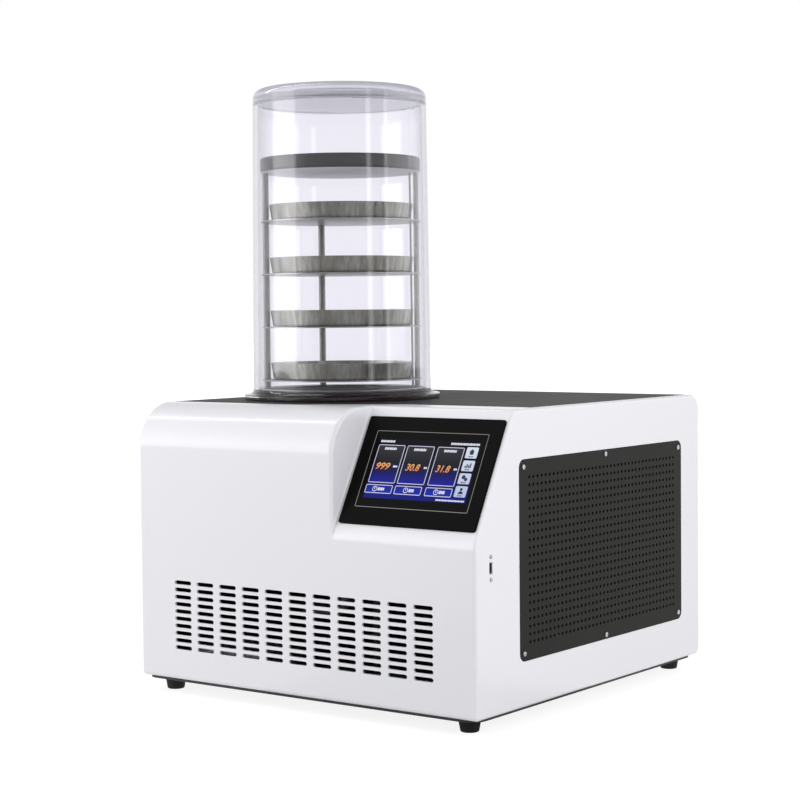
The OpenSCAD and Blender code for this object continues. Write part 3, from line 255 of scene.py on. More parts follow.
white_moulding = coated("white moulding", (0.798, 0.796, 0.835), 0.30, peel=420, depth=0.002,
                        spread=0.008, patch=4, uneven=0.25, Coat_Weight=0.35,
                        Coat_Roughness=0.07)
white_sheet = coated("white sheet steel", (0.74, 0.74, 0.765), 0.42, peel=700, depth=0.02,
                     spread=0.02)
black_powder = coated("black powder coat", (0.020, 0.020, 0.022), 0.50, peel=1500, depth=0.03,
                      spread=0.10, Specular_IOR_Level=0.09)
base_paint = coated("base plate paint", (0.022, 0.022, 0.023), 0.60, peel=1400, depth=0.03,
                    spread=0.15)
grille_paint = coated("grille paint", (0.020, 0.0195, 0.0185), 0.50, peel=1700, depth=0.025,
                      spread=0.10, patch=14, Specular_IOR_Level=0.08)
bezel_satin = coated("bezel satin", (0.003, 0.003, 0.0034), 0.34, peel=2600, depth=0.006,
                     spread=0.2, Specular_IOR_Level=0.04)
screen_black = coated("screen glass", (0.002, 0.002, 0.0025), 0.10, peel=400, depth=0.001,
                      spread=0.2, Specular_IOR_Level=0.05)
coil_black = coated("condenser black", (0.012, 0.012, 0.012), 0.55, peel=900, depth=0.03,
                    spread=0.25)
black_moulding = coated("black moulding", (0.022, 0.022, 0.024), 0.45, peel=1200, depth=0.02,
                        spread=0.15)
grey_moulding = coated("grey moulding", (0.26, 0.27, 0.29), 0.5, peel=900, depth=0.02)
black_enamel = coated("black enamel", (0.018, 0.018, 0.02), 0.36, peel=260, depth=0.03, spread=0.2)
red_enamel = coated("red dip coat", (0.50, 0.035, 0.045), 0.36, peel=300, depth=0.03, spread=0.08)
green_rocker = coated("green rocker", (0.04, 0.30, 0.10), 0.22, peel=500, depth=0.01,
                      Emission_Color=(0.02, 0.30, 0.08, 1), Emission_Strength=0.25)
hose_plastic = coated("milky hose", (0.72, 0.73, 0.75), 0.35, peel=300, depth=0.03)
board_green = coated("board green", (0.03, 0.17, 0.08), 0.4, peel=900, depth=0.02, spread=0.2,
                     patch=60)
rubber = coated("black rubber", (0.012, 0.012, 0.013), 0.66, peel=1100, depth=0.05, spread=0.2,
                Specular_IOR_Level=0.25)
# Painted shade: near black for the housing's inside faces, standing in for the shade inside.
painted_inner_shade = coated("sound deadening coat", (0.020, 0.020, 0.021), 0.8, peel=500, depth=0.2,
                    spread=0.3, Specular_IOR_Level=0.2)
print("white paint, black paint and rubber are ready")


# %% Metal finishes
def metal(name, colour, rough, fine, contrast, brush=(1, 1, 1), depth=0.01):
    """Bare metal: tone and roughness follow the brush marks, which are noise drawn out one way."""
    f = Finish(name, Metallic=1.0)
    cloud = f.noise(12, detail=4)
    marks = f.noise(fine, stretch=brush, detail=4, roughness=0.65)
    tone = cloud * 0.4 + marks * 0.6
    f.drive("Base Color", f.blend(tone, shade(colour, 1 - contrast), shade(colour, 1 + contrast)))
    f.drive("Roughness", rough + (marks - 0.5) * 0.20 + (cloud - 0.5) * 0.10)
    f.bump(marks, depth)
    return f


zinc = metal("zinc plate", (0.62, 0.63, 0.65), 0.37, fine=300, contrast=0.12)
machined = metal("machined steel", (0.60, 0.60, 0.59), 0.37, fine=120, contrast=0.06,
                 brush=(1, 14, 1), depth=0.002)
copper = metal("drawn copper", (0.72, 0.36, 0.20), 0.37, fine=260, contrast=0.2)
brass = metal("turned brass", (0.70, 0.50, 0.20), 0.37, fine=260, contrast=0.15)
aluminium = metal("rolled aluminium", (0.68, 0.69, 0.70), 0.38, fine=700, contrast=0.1,
                  brush=(1, 1, 0.1))
sheet_steel = metal("shelf steel", (0.40, 0.40, 0.38), 0.37, fine=900, contrast=0.12,
                    brush=(0.06, 1, 1))
post_steel = metal("post steel", (0.24, 0.24, 0.22), 0.38, fine=900, contrast=0.22,
                   brush=(1, 1, 0.03))
print("metals are ready")

# %% [markdown]
# ## Finishes with a story
#
# The pressed trays carry upright streaks: partly drawing marks, partly painted reflections of the
# studio's bright and dark walls. The rack's disc is dark, with a pale underside. The seal's rubber
# is a very dark red-brown, and the foam is black and pitted.

# %% Tray steel
tray_steel = Finish("tray steel", Metallic=1.0)
wide = tray_steel.noise(26, stretch=(1, 1, 0.02), detail=3)
narrow = tray_steel.noise(190, stretch=(1, 1, 0.03), detail=4, roughness=0.7)
speck = tray_steel.noise(1500, stretch=(1, 1, 0.25), detail=2)
# Streak tone: partly drawing marks, partly painted reflection of the studio's walls.
streak_and_painted_reflection = wide * 0.55 + narrow * 0.35 + speck * 0.10
tray_steel.drive("Base Color", tray_steel.ramp(streak_and_painted_reflection, [
    (0.32, (0.10, 0.098, 0.075)), (0.68, (0.86, 0.86, 0.83)), (0.50, (0.38, 0.375, 0.32))]))
tray_steel.drive("Roughness", 0.17 + narrow * 0.22 + speck * 0.08)
tray_steel.bump(narrow, 0.02)

# %% Rack disc
disc_plastic = Finish("rack disc")
cloud = disc_plastic.noise(40, detail=4)
disc_foot = 303.6
underside = disc_plastic.along((0, 0, 1)) < in_chamber(0, 0, disc_foot).z
dark = disc_plastic.blend(cloud, (0.018, 0.018, 0.019), (0.028, 0.028, 0.029))
disc_plastic.drive("Base Color", disc_plastic.blend(underside, dark, (0.85, 0.85, 0.88)))
disc_plastic.drive("Roughness", 0.34 + cloud * 0.12)
disc_plastic.bump(disc_plastic.noise(700), 0.02)

# %% Seal rubber and foam
seal_rubber = Finish("seal rubber", Coat_Weight=0.05, Coat_Roughness=0.2, Specular_IOR_Level=0.15)
worn = seal_rubber.noise(30, detail=4)
seal_rubber.drive("Base Color", seal_rubber.blend(
    worn, (0.008, 0.004, 0.006), (0.024, 0.009, 0.011)))
seal_rubber.drive("Roughness", 0.35 + worn * 0.2)
seal_rubber.bump(seal_rubber.noise(900), 0.03)

foam = Finish("insulating foam", Specular_IOR_Level=0.2)
pits = foam.node("ShaderNodeTexVoronoi", {}, {"Vector": foam.place, "Scale": 260.0})
swell = foam.noise(18, detail=5)
foam.drive("Base Color", foam.blend(swell, (0.010, 0.010, 0.011), (0.026, 0.025, 0.025)))
foam.drive("Roughness", 0.75 + pits * 0.2)
foam.bump(pits + swell, 0.6)
print("trays, seal and foam are ready")

# %% [markdown]
# ## Clear acrylic
#
# The bell is cast acrylic, 6 mm thick and thicker at the top. It is real glass to the eye, with a
# faint blue-violet tint, and with painted shade that darkens the walls where they are seen edge
# on. Lamp rays and soft light would be stopped by it, so for those it is swapped for a transparent
# shader that is only a little darker.

# %% Acrylic
acrylic = Finish("clear acrylic", Roughness=0.02, IOR=1.45, Transmission_Weight=1.0)
# Painted shade: the walls turn dark grey-violet where seen edge on, far darker than the tint.
edge_on_painted_shade = acrylic.node("ShaderNodeLayerWeight", {}, {"Blend": 0.5}, "Facing").power(1.8)
acrylic.drive("Base Color", acrylic.blend(edge_on_painted_shade, (0.945, 0.940, 0.985), (0.30, 0.30, 0.36)))
wave = acrylic.noise(7, stretch=(1, 1, 0.25), detail=2)
acrylic.bump(wave, 0.25, 0.35)
through = acrylic.node("ShaderNodeBsdfTransparent", {}, {"Color": (0.93, 0.93, 0.96, 1)})
lamp_ray, soft_ray = acrylic.rays("Is Shadow Ray", "Is Diffuse Ray")
acrylic.swap(lamp_ray.largest(soft_ray), through)
print("acrylic is ready")

# %% [markdown]
# ## Finish for every part of the frame
#
# A part of the frame keeps its mesh. Its material slots are only given a new material.

# %% Dress the frame
FINISH_OF = {
    white_sheet: "rear_panel",
    black_powder: "top_plate",
    base_paint: "base_plate inner_frame",
    zinc: "rear_screws foot_bolts screen_clamps usb_screws grille_screws fan_motor",
    rubber: "feet compressor_grommets",
    grille_paint: "side_grille",
    bezel_satin: "screen_bezel",
    screen_black: "screen_glass",
    coil_black: "condenser_fins condenser_ends condenser_bends condenser_tubes",
    grey_moulding: "screen_module pressure_sensor",
    machined: "vacuum_port vacuum_pipe usb_socket",
    acrylic: "bell_jar",
    seal_rubber: "bell_seal",
    sheet_steel: "cold_trap shelf_1 shelf_2 shelf_3 shelf_4",
    post_steel: "rack_posts",
    tray_steel: "tray_1 tray_2 tray_3 tray_4",
    foam: "trap_foam trap_foam_base",
    copper: "evaporator_coil filter_drier discharge_pipe suction_pipe liquid_pipe",
    aluminium: "power_supply",
    black_enamel: "compressor fan_shroud",
    disc_plastic: "rack_disc",
    black_moulding: "fan_rotor vent_knob mains_inlet pump_outlet fuse_holder switch_frame",
    brass: "vent_valve drain_valve",
    red_enamel: "drain_lever",
    hose_plastic: "drain_pipe",
    board_green: "control_board",
    green_rocker: "switch_rocker",
    white_moulding: "outer_shell",
}


def dress(piece, finish):
    if not piece.data.materials:
        piece.data.materials.append(None)
    for i in range(len(piece.data.materials)):
        piece.data.materials[i] = finish.material


for finish, names in FINISH_OF.items():
    for name in names.split():
        dress(frame["nodes"][name], finish)
dressed = " ".join(FINISH_OF.values()).split()
print(len(dressed), "parts dressed, not yet:", sorted(set(frame["nodes"]) - set(dressed)))


# %% [markdown]
# ## Small helpers for meshes
#
# A piece is made from points in metres, shaded smooth with its sharp edges marked, and rides on the
# body that the part it stands for belongs to.

# %% Mesh helpers
BODY_OF = {n: b for b, names in frame["record"]["behaviour"]["bodies"].items() for n in names}
SAME_PLACE, TINY = 1e-7, 1e-12


def mesh_piece(name, points, faces, finish):
    mesh = bpy.data.meshes.new(name)
    mesh.from_pydata([tuple(p) for p in points], [], faces)
    piece = new_object(name, mesh)
    dress(piece, finish)
    smooth(piece)
    return piece


def smooth(piece, sharp=40, merge=0.0, flat=0.0):
    """Shades a mesh smooth, except over edges that turn by more than sharp degrees. First, points
    nearer than merge are joined, and so are faces that turn by less than flat degrees."""
    work = bmesh.new()
    work.from_mesh(piece.data)
    if merge:
        bmesh.ops.remove_doubles(work, verts=work.verts, dist=merge)
    bmesh.ops.recalc_face_normals(work, faces=work.faces)
    if flat:
        bmesh.ops.dissolve_limit(work, angle_limit=math.radians(flat), verts=work.verts,
                                 edges=work.edges)
    for face in work.faces:
        face.smooth = True
    for edge in work.edges:
        turned = edge.calc_face_angle(0)
        edge.smooth = len(edge.link_faces) == 2 and turned < math.radians(sharp)
    work.to_mesh(piece.data)
    work.free()


def plain_mesh(piece):
    return bpy.data.meshes.new_from_object(
        piece.evaluated_get(bpy.context.evaluated_depsgraph_get()))


def baked(piece):
    """Turns a piece and its modifiers into a plain mesh."""
    plain = plain_mesh(piece)
    piece.modifiers.clear()
    piece.data = plain
    return piece


def stands_for(piece, node):
    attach(piece, BODY_OF[node])
    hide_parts(node)


def round_off(piece, width_mm, angle):
    """Rounds the edges that turn by more than angle degrees."""
    bevel = piece.modifiers.new("round off", "BEVEL")
    bevel.width, bevel.segments = width_mm * MM, 2
    bevel.limit_method, bevel.angle_limit = "ANGLE", math.radians(angle)
    bevel.harden_normals = False
    even = piece.modifiers.new("even shading", "WEIGHTED_NORMAL")
    even.keep_sharp = True
    baked(piece)


# %% Outlines
def arc(centre, radius, start, end, steps):
    """Points on an arc in a plane, in mm and degrees."""
    turns = [math.radians(start + (end - start) * i / steps) for i in range(steps + 1)]
    return [(centre[0] + radius * math.cos(a), centre[1] + radius * math.sin(a)) for a in turns]


def round_rect(w, h, r, steps=6):
    """A rounded rectangle with its lower left corner at (0, 0)."""
    points = []
    for cx, cy, start in ((w - r, r, -90), (w - r, h - r, 0), (r, h - r, 90), (r, r, 180)):
        points += arc((cx, cy), r, start, start + 90, steps)
    return points


# %% Solids and cuts
def band(a, b, n):
    """Faces between two rings of n points, which start at a and at b."""
    return [[a + i, a + (i + 1) % n, b + (i + 1) % n, b + i] for i in range(n)]


def prism(name, outline, place, low, high, finish=white_moulding):
    """A solid with a flat outline. place(u, v, w) turns its three numbers into a point."""
    n = len(outline)
    points = [place(u, v, low) for u, v in outline] + [place(u, v, high) for u, v in outline]
    faces = [list(range(n))[::-1], list(range(n, 2 * n))] + band(0, n, n)
    return mesh_piece(name, points, faces, finish)


def cut(piece, *cutters):
    """Takes the cutters' shapes out of a piece, one after another, and removes them."""
    for cutter in cutters:
        notch = piece.modifiers.new("cut", "BOOLEAN")
        notch.operation, notch.solver, notch.object = "DIFFERENCE", "EXACT", cutter
        baked(piece)
        bpy.data.objects.remove(cutter)


def lathe(name, profile, finish, turns):
    """Turns a closed outline of (radius, height) in mm round the chamber's axis."""
    n = len(profile)
    points, faces = [], []
    for k in range(turns):
        a = 2 * math.pi * k / turns
        points += [in_chamber(r * math.cos(a), r * math.sin(a), z) for r, z in profile]
        faces += band(k * n, (k + 1) % turns * n, n)
    made = mesh_piece(name, points, faces, finish)
    smooth(made, merge=SAME_PLACE)
    return made


print("helpers are ready")

# %% [markdown]
# ## The housing
#
# The white body is one moulding. Its front rolls over into the top in one large round, and on the
# right a sloped console is sunk into that round, with a wall that fades out at the slope's foot.
# That fading wall is what a plain cut doesn't give. Here the body is a loft instead: the same ring
# of points runs along x, and between the two outlines each point slides from the round to the slope
# along a path with a soft shoulder and a soft foot. Where the two outlines meet, there is nothing
# to slide, so the wall dies away by itself.

# %% The body's two outlines
console_w, console_rise, console_depth = 208.7, 151.4, 82.2
console_x, console_z = body_w - console_w, body_h - console_rise
nose_r, foot_r, crest_r = 57, 35, 6
slope = math.atan2(console_rise, console_depth)
slope_deg = math.degrees(slope)
foot_cut = foot_r * math.tan((math.pi / 2 - slope) / 2)
crest_cut = crest_r * math.tan(slope / 2)
begin = (0, console_z - foot_cut)
finish_y = console_depth + crest_cut

round_front = [begin] + arc((nose_r, body_h - nose_r), nose_r, 180, 90, 28) + [(finish_y, body_h)]
slope_front = arc((foot_r, begin[1]), foot_r, 180, 90 + slope_deg, 12)
slope_front += arc((finish_y, body_h - crest_r), crest_r, 90 + slope_deg, 90, 8)
print("console %.1f mm wide, slope at %.1f degrees" % (console_w, slope_deg))


# %% Points that match on both outlines
def lengths(line):
    """How far along each point of a line lies, as a share of the whole."""
    run = [0.0]
    for a, b in zip(line, line[1:]):
        run.append(run[-1] + math.dist(a, b))
    return [r / run[-1] for r in run]


def at_share(line, run, share):
    """The point that lies a share of the way along a line."""
    for i in range(len(run) - 1):
        if share <= run[i + 1] + TINY:
            t = (share - run[i]) / max(run[i + 1] - run[i], TINY)
            return tuple(a + (b - a) * t for a, b in zip(line[i], line[i + 1]))
    return line[-1]


runs = lengths(round_front), lengths(slope_front)
shares = sorted(set(round(s, 6) for run in runs for s in run))
closest = 2e-4
shares = [s for i, s in enumerate(shares) if i == 0 or s - shares[i - 1] > closest]
round_points = [at_share(round_front, runs[0], s) for s in shares]
slope_points = [at_share(slope_front, runs[1], s) for s in shares]
rear_r, heel_r, toe_r = 20, 11, 6
behind = arc((body_d - rear_r, body_h - rear_r), rear_r, 90, 0, 10)
behind += arc((body_d - heel_r, heel_r), heel_r, 0, -90, 7)
behind += arc((toe_r, toe_r), toe_r, 270, 180, 6)
print(len(shares), "points on the front,", len(behind), "behind and below")


# %% The columns of the fading wall
def inset(ring, by):
    """Moves a ring of (y, z) points inwards by the same distance everywhere."""
    out, n = [], len(ring)
    for i in range(n):
        a, b, c = (Vector(ring[k % n]) for k in (i - 1, i, i + 1))
        u, v = (b - a).normalized(), (c - b).normalized()
        side = Vector((-u.y - v.y, u.x + v.x)).normalized()
        lean = max(0.2, side.dot(Vector((-v.y, v.x))))
        out.append(tuple(b - side * by / lean))
    return out


def quarter(i, steps):
    """How far a quarter round has gone over and down after i of its steps."""
    a = math.pi / 2 * i / steps
    return math.sin(a), 1 - math.cos(a)


def wall_path():
    """(x, share of the way in for a wall of depth d) for each column of the fading wall."""
    shoulder, foot, steps = 5.5, 4.0, 8

    def step_in(i):
        over, down = quarter(i, steps)
        return console_x - shoulder + shoulder * over, lambda d, q: q * shoulder * down / d

    def step_out(i):
        over, down = quarter(i, steps)
        return console_x + foot * down, lambda d, q: 1 - q * foot * (1 - over) / d

    each = range(steps + 1)
    return shoulder + foot, [step_in(i) for i in each] + [step_out(i) for i in each]


def edge_round(i):
    """How far an end column stands in from the side, and how far its ring is pulled in."""
    over, down = quarter(i, edge_steps)
    return edge_r * down, edge_r * (1 - over)


edge_r, edge_steps = 4.0, 6
blend_room, path = wall_path()
columns = [(*edge_round(i), lambda d, q: 0.0) for i in range(edge_steps + 1)]
columns += [(x, 0.0, share) for x, share in path]
for i in range(edge_steps, -1, -1):
    from_side, pull = edge_round(i)
    columns.append((body_w - from_side, pull, lambda d, q: 1.0))
print(len(columns), "columns from the left side to the right")

# %% Loft the outside
rings = []
for x, pull, share_in in columns:
    front = []
    for a, b in zip(round_points, slope_points):
        depth = math.dist(a, b)
        t = share_in(depth, min(1.0, depth / blend_room)) if depth > 1e-6 else 0.0
        front.append((a[0] + (b[0] - a[0]) * t, a[1] + (b[1] - a[1]) * t))
    rings.append([in_body(x, y, z) for y, z in inset(front + behind, pull)])
n = len(rings[0])
points = [p for ring in rings for p in ring]
faces = [list(range(n)), list(range((len(rings) - 1) * n, len(rings) * n))[::-1]]
for k in range(len(rings) - 1):
    faces += band(k * n, (k + 1) * n, n)
housing = mesh_piece("housing", points, faces, white_moulding)
smooth(housing, merge=SAME_PLACE, flat=0.02)
print("housing loft:", len(housing.data.polygons), "faces")


# %% [markdown]
# ## Openings in the housing
#
# The wall is 3 mm thick, so the body is hollowed with a smaller body, and then cut for the top
# plate, the grille, the rear panel, the screen and the USB socket. The ventilation slots are one
# shape repeated in columns and rows, which is what Geometry Nodes are for: two lines of points, one
# along x and one along z, carry one short rod with round ends.

# %% Ways to lay an outline
def across(u, v, w):
    """Outline in (y, z), run along x."""
    return in_body(w, u, v)


def upright(u, v, w):
    """Outline in (x, y), run along z."""
    return in_body(u, v, w)


def along_y(u, v, w):
    """Outline in (x, z), run along y."""
    return in_body(u, w, v)


def opening(name, w, h, r, place, u0, v0, low, high):
    """A cutter: a rounded rectangle whose lower left corner lies at (u0, v0)."""
    return prism(name, round_rect(w, h, r), lambda u, v, at: place(u0 + u, v0 + v, at),
                 low, high)


# %% Hollow
wall, lip, roof, ledge = 3, 3, 7, 26
hollow_nose, hollow_rear = nose_r - wall, rear_r - wall
high = body_h - roof
inner_back = arc((body_d - wall - hollow_rear, high - hollow_rear), hollow_rear, 90, 0, 6)
inner_back += [(body_d - wall, lip), (wall, lip)]
inner_round = arc((wall + hollow_nose, high - hollow_nose), hollow_nose, 180, 90, 14) + inner_back
slip = (wall * math.sin(slope), -wall * math.cos(slope))
inner_foot_z = console_z + slip[1] + (wall - slip[0]) * math.tan(slope)
inner_crest_y = console_depth + slip[0] + (high - body_h - slip[1]) / math.tan(slope)
inner_slope = [(wall, inner_foot_z), (inner_crest_y, high)] + inner_back
cut(housing,
    prism("room left", inner_round, across, wall, console_x - wall),
    prism("room right", inner_slope, across, console_x - wall - 1, body_w - wall),
    opening("underside", body_w - 2 * ledge, body_d - 2 * ledge, 2, upright, ledge, ledge,
            -1, lip + 1))
print("hollowed, housing has", len(housing.data.polygons), "faces")


# %% Pockets and openings for the plates
def plate_outline(grow):
    """The top plate's outline: a rectangle whose front edge sweeps back beside the console."""
    side, back, swept, bend_r = 6, 26, 128, 60
    starts, ends = -107, 17
    sweep = Vector((ends - starts, swept - nose_r - side))
    lean = math.atan2(sweep.y, sweep.x)
    turned, shift = math.degrees(lean), grow * math.tan(lean / 2)
    left, rear = side - grow, body_d - back + grow
    p1 = Vector((console_x + starts + shift, nose_r + side - grow))
    p2 = Vector((console_x + ends + shift, swept - grow))
    bend, run = bend_r * math.tan(lean / 2), sweep.normalized()
    line = [(left, p1.y), (p1.x - bend, p1.y)]
    line += arc((p1.x - bend, p1.y + bend_r), bend_r, -90, -90 + turned, 8)[1:]
    centre = p2 - run * bend + Vector((run.y, -run.x)) * bend_r
    line += arc(tuple(centre), bend_r, 90 + turned, 90, 8)
    return line + [(body_w - left, p2.y), (body_w - left, rear), (left, rear)]


def let_in(name, w, h, r, rim, inner_r, place, u0, v0, face):
    """Cutters for a plate sunk into the wall at a face, and for the opening behind it."""
    return (opening(name + " pocket", w + 2 * gap, h + 2 * gap, r + gap, place,
                    u0 - gap, v0 - gap, face - sunk, face + 4),
            opening(name + " opening", w - 2 * rim, h - 2 * rim, inner_r, place,
                    u0 + rim, v0 + rim, face - 6, face + 1))


gap, sunk, grille_r, plate_t, plate_rim = 0.3, 1.2, 10, 4, 8
grille_front, grille_low, grille_w, grille_h = 92.1, 55.5, body_d - 144.5, body_h - 115.6
panel_side, panel_low = 22, 18
cut(housing,
    prism("plate pocket", plate_outline(gap), upright, body_h - plate_t, body_h + 5),
    prism("plate opening", plate_outline(-plate_rim), upright, body_h - 12, body_h),
    *let_in("grille", grille_w, grille_h, grille_r, 14, 6, across,
            grille_front, grille_low, body_w),
    *let_in("panel", body_w - 2 * panel_side, body_h - 2 * panel_side, 4, 12, 1, along_y,
            panel_side, panel_low, body_d))
print("openings cut, housing has", len(housing.data.polygons), "faces")

# %% Screen and socket openings
slope_up = Vector((0, math.cos(slope), math.sin(slope)))
slope_out = Vector((0, -math.sin(slope), math.cos(slope)))
bezel_w, bezel_h, bezel_rim = 200, 143, 10
bezel_left = (console_w - bezel_w) / 2
bezel_low = (math.hypot(console_rise, console_depth) - bezel_h) / 2


def on_bezel(u, v, w):
    """x across the bezel, y up the slope and z out of it."""
    foot = in_body(console_x + bezel_left + u, 0, console_z)
    return foot + (slope_up * (bezel_low + v) + slope_out * w) * MM


usb_y, usb_z = 31.4, console_z - 29.9
socket_w, socket_h = 6.8, 14.4
cut(housing,
    opening("screen opening", bezel_w - 2 * bezel_rim, bezel_h - 2 * bezel_rim, 2, on_bezel,
            bezel_rim, bezel_rim, -8, 4),
    opening("socket opening", socket_w, socket_h, 0.6, across,
            usb_y - socket_w / 2, usb_z - socket_h / 2, body_w - 5, body_w + 2))
print("screen and socket cut, housing has", len(housing.data.polygons), "faces")


# %% Geometry Nodes: a rod repeated in columns and rows
def field_tree():
    """A tree that takes a mesh and named values, and gives rows and columns of that mesh."""
    tree = bpy.data.node_groups.new("rows and columns", "GeometryNodeTree")
    for title, kind in (("Geometry", "Geometry"), ("Columns", "Int"), ("Rows", "Int"),
                        ("Column step", "Vector"), ("Row step", "Vector"),
                        ("First place", "Vector"), ("Finish", "Material")):
        tree.interface.new_socket(title, in_out="INPUT", socket_type="NodeSocket" + kind)
    tree.interface.new_socket("Geometry", in_out="OUTPUT", socket_type="NodeSocketGeometry")
    given, result = tree.nodes.new("NodeGroupInput"), tree.nodes.new("NodeGroupOutput")
    columns_line = step(tree, "GeometryNodeMeshLine", {}, {
        "Count": given.outputs["Columns"], "Start Location": given.outputs["First place"],
        "Offset": given.outputs["Column step"]})
    rows_line = step(tree, "GeometryNodeMeshLine", {}, {
        "Count": given.outputs["Rows"], "Offset": given.outputs["Row step"]})
    grid = step(tree, "GeometryNodeInstanceOnPoints", {}, {
        "Points": columns_line, "Instance": rows_line})
    grid = step(tree, "GeometryNodeRealizeInstances", {}, {"Geometry": grid})
    shapes = step(tree, "GeometryNodeInstanceOnPoints", {}, {
        "Points": grid, "Instance": given.outputs["Geometry"]})
    shapes = step(tree, "GeometryNodeRealizeInstances", {}, {"Geometry": shapes})
    done = step(tree, "GeometryNodeSetMaterial", {}, {
        "Geometry": shapes, "Material": given.outputs["Finish"]})
    tree.links.new(done, result.inputs[0])
    return tree


ROWS_AND_COLUMNS = field_tree()


def repeat(shape, columns, rows, column_step, row_step, first, finish):
    """Repeats a shape that is made round the origin."""
    field = shape.modifiers.new("repeat", "NODES")
    field.node_group = ROWS_AND_COLUMNS
    values = {"Columns": columns, "Rows": rows, "Column step": column_step,
              "Row step": row_step, "First place": first, "Finish": finish.material}
    for item in ROWS_AND_COLUMNS.interface.items_tree:
        if item.in_out == "INPUT" and item.name in values:
            field[item.identifier] = values[item.name]
    baked(shape)


# %% Ventilation slots
slot_len, slot_h, slot_x, slot_z = 28.5, 5.2, 38.06, 9.35
bare_sides, slot_rows, slot_low = 140, 10, 42.4
slot_columns = int((body_w - bare_sides) // slot_x) + 1
slot_left = (body_w - (slot_columns - 1) * slot_x) / 2
reach = (slot_len - slot_h) / 2
slot_shape = arc((reach, 0), slot_h / 2, -90, 90, 6) + arc((-reach, 0), slot_h / 2, 90, 270, 6)
slots = prism("slots", slot_shape, lambda u, v, w: Vector((u, w, v)) * MM, -2, 8)
repeat(slots, slot_columns, slot_rows, (slot_x * MM, 0, 0), (0, 0, slot_z * MM),
       in_body(slot_left, 0, slot_low), white_moulding)
cut(housing, slots)
smooth(housing, 30)
round_off(housing, 0.4, 50)
print("slots:", slot_columns, "columns of", slot_rows)

# %% Painted shade inside the housing
# The inside faces take painted shade, so the dark seen through the slots is painted, not lit.
housing.data.materials.append(painted_inner_shade.material)
body_middle = in_body(body_w / 2, body_d / 2, body_h / 2)
slack = Vector((1e-4, 1e-4, 1e-4))
room_low = in_body(wall, wall, lip) - slack
room_high = in_body(body_w - wall, body_d - wall, high) + slack
for face in housing.data.polygons:
    inward = face.normal.dot(body_middle - face.center) > 0
    in_room = all(room_low[k] < face.center[k] < room_high[k] for k in range(3))
    face.material_index = 1 if inward and in_room else 0
stands_for(housing, "outer_shell")
painted_shade_faces = sum(face.material_index for face in housing.data.polygons)
print("housing done:", len(housing.data.polygons), "faces,", painted_shade_faces, "of them coated inside")

# %% [markdown]
# ## The side grille
#
# One steel plate, 22 rows of 40 punched holes, held by six screws. The punch leaves a small round
# on each hole's rim, which catches the light, so the holes are cut and their rims are bevelled.

# %% Perforated plate
hole_y, hole_z, hole_r, rim, proud = 9.08, 9.39, 2.0, 0.25, 0.3
bare_edges = 40
hole_columns = int((grille_w - bare_edges) // hole_y) + 1
hole_rows = int((grille_h - bare_edges) // hole_z) + 1
plate = prism("grille_plate", round_rect(grille_w, grille_h, grille_r, 8),
              lambda u, v, w: across(grille_front + u, grille_low + v, w),
              body_w - sunk, body_w + proud, grille_paint)
sections, sides = ((-3, hole_r), (-rim, hole_r), (1, hole_r + rim + 1)), 16
punch = mesh_piece(
    "punch",
    [Vector((w, y, z)) * MM for w, r in sections for y, z in arc((0, 0), r, 0, 360, sides)[:-1]],
    [list(range(sides)), list(range(2 * sides, 3 * sides))]
    + band(0, sides, sides) + band(sides, 2 * sides, sides), grille_paint)
first_hole = in_body(body_w + proud, grille_front + grille_w / 2 - (hole_columns - 1) * hole_y / 2,
                     grille_low + grille_h / 2 - (hole_rows - 1) * hole_z / 2)
repeat(punch, hole_columns, hole_rows, (0, hole_y * MM, 0), (0, 0, hole_z * MM),
       first_hole, grille_paint)
cut(plate, punch)
smooth(plate, 30)
stands_for(plate, "side_grille")
print("grille:", hole_rows, "rows of", hole_columns, "holes,", len(plate.data.polygons), "faces")

# %% [markdown]
# ## The thick top of the bell
#
# The bell's flat top is one thick disc of acrylic. Inside it sits a piece of its own: half clear,
# pale violet and thinner in places, partly the faint haze of thick cast acrylic and partly painted
# light that hides a dark ring the solid top would show. Its heights are counted down from the
# bell's top.

# %% Cloud in the bell's top
bell_height = (bell_high.z - chamber.z) / MM
# Painted light: a pale violet, lit by the lamps, that brightens the top and hides its dark ring.
haze_and_painted_light = Finish("cloudy acrylic", Roughness=0.5, Specular_IOR_Level=0.0)
drifting = haze_and_painted_light.noise(16, detail=4)
haze_and_painted_light.drive("Base Color", haze_and_painted_light.blend(drifting, (0.68, 0.68, 0.73), (0.86, 0.85, 0.90)))
haze_and_painted_light.drive("Alpha", 0.42 + drifting * 0.16)
haze_and_painted_light.bump(drifting, 0.5)
haze_and_painted_light_outline = [(0, bell_height - 18.5)] + arc((110, bell_height - 15.5), 3, -90, 0, 4)
haze_and_painted_light_outline += arc((103, bell_height - 14), 10, 0, 90, 10) + [(0, bell_height - 4)]
top_haze_and_painted_light = lathe("bell_top_cloud", haze_and_painted_light_outline, haze_and_painted_light, turns=96)
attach(top_haze_and_painted_light, BODY_OF["bell_jar"])
print("cloud:", len(top_haze_and_painted_light.data.polygons), "faces")

# %% [markdown]
# ## The screen's picture
#
# The touch panel is lit: three readings in frames over a field that runs from black to blue, three
# buttons under them and four on the right. Light that comes out of a display is emission, so each
# ink is a black gloss with its own glow. The shapes are thin, lie in layers on the glass and are
# gathered into one mesh. Their places are in millimetres from the lit area's lower left corner.
# Where small writing would be, there are only rows of plain marks.

# %% Inks
def on_glass(u, v, w):
    return on_bezel(17.5 + u, 22.3 + v, 2.1 + w)


glass_h = 101.5
glass_low = on_glass(0, 0, 0).dot(slope_up)


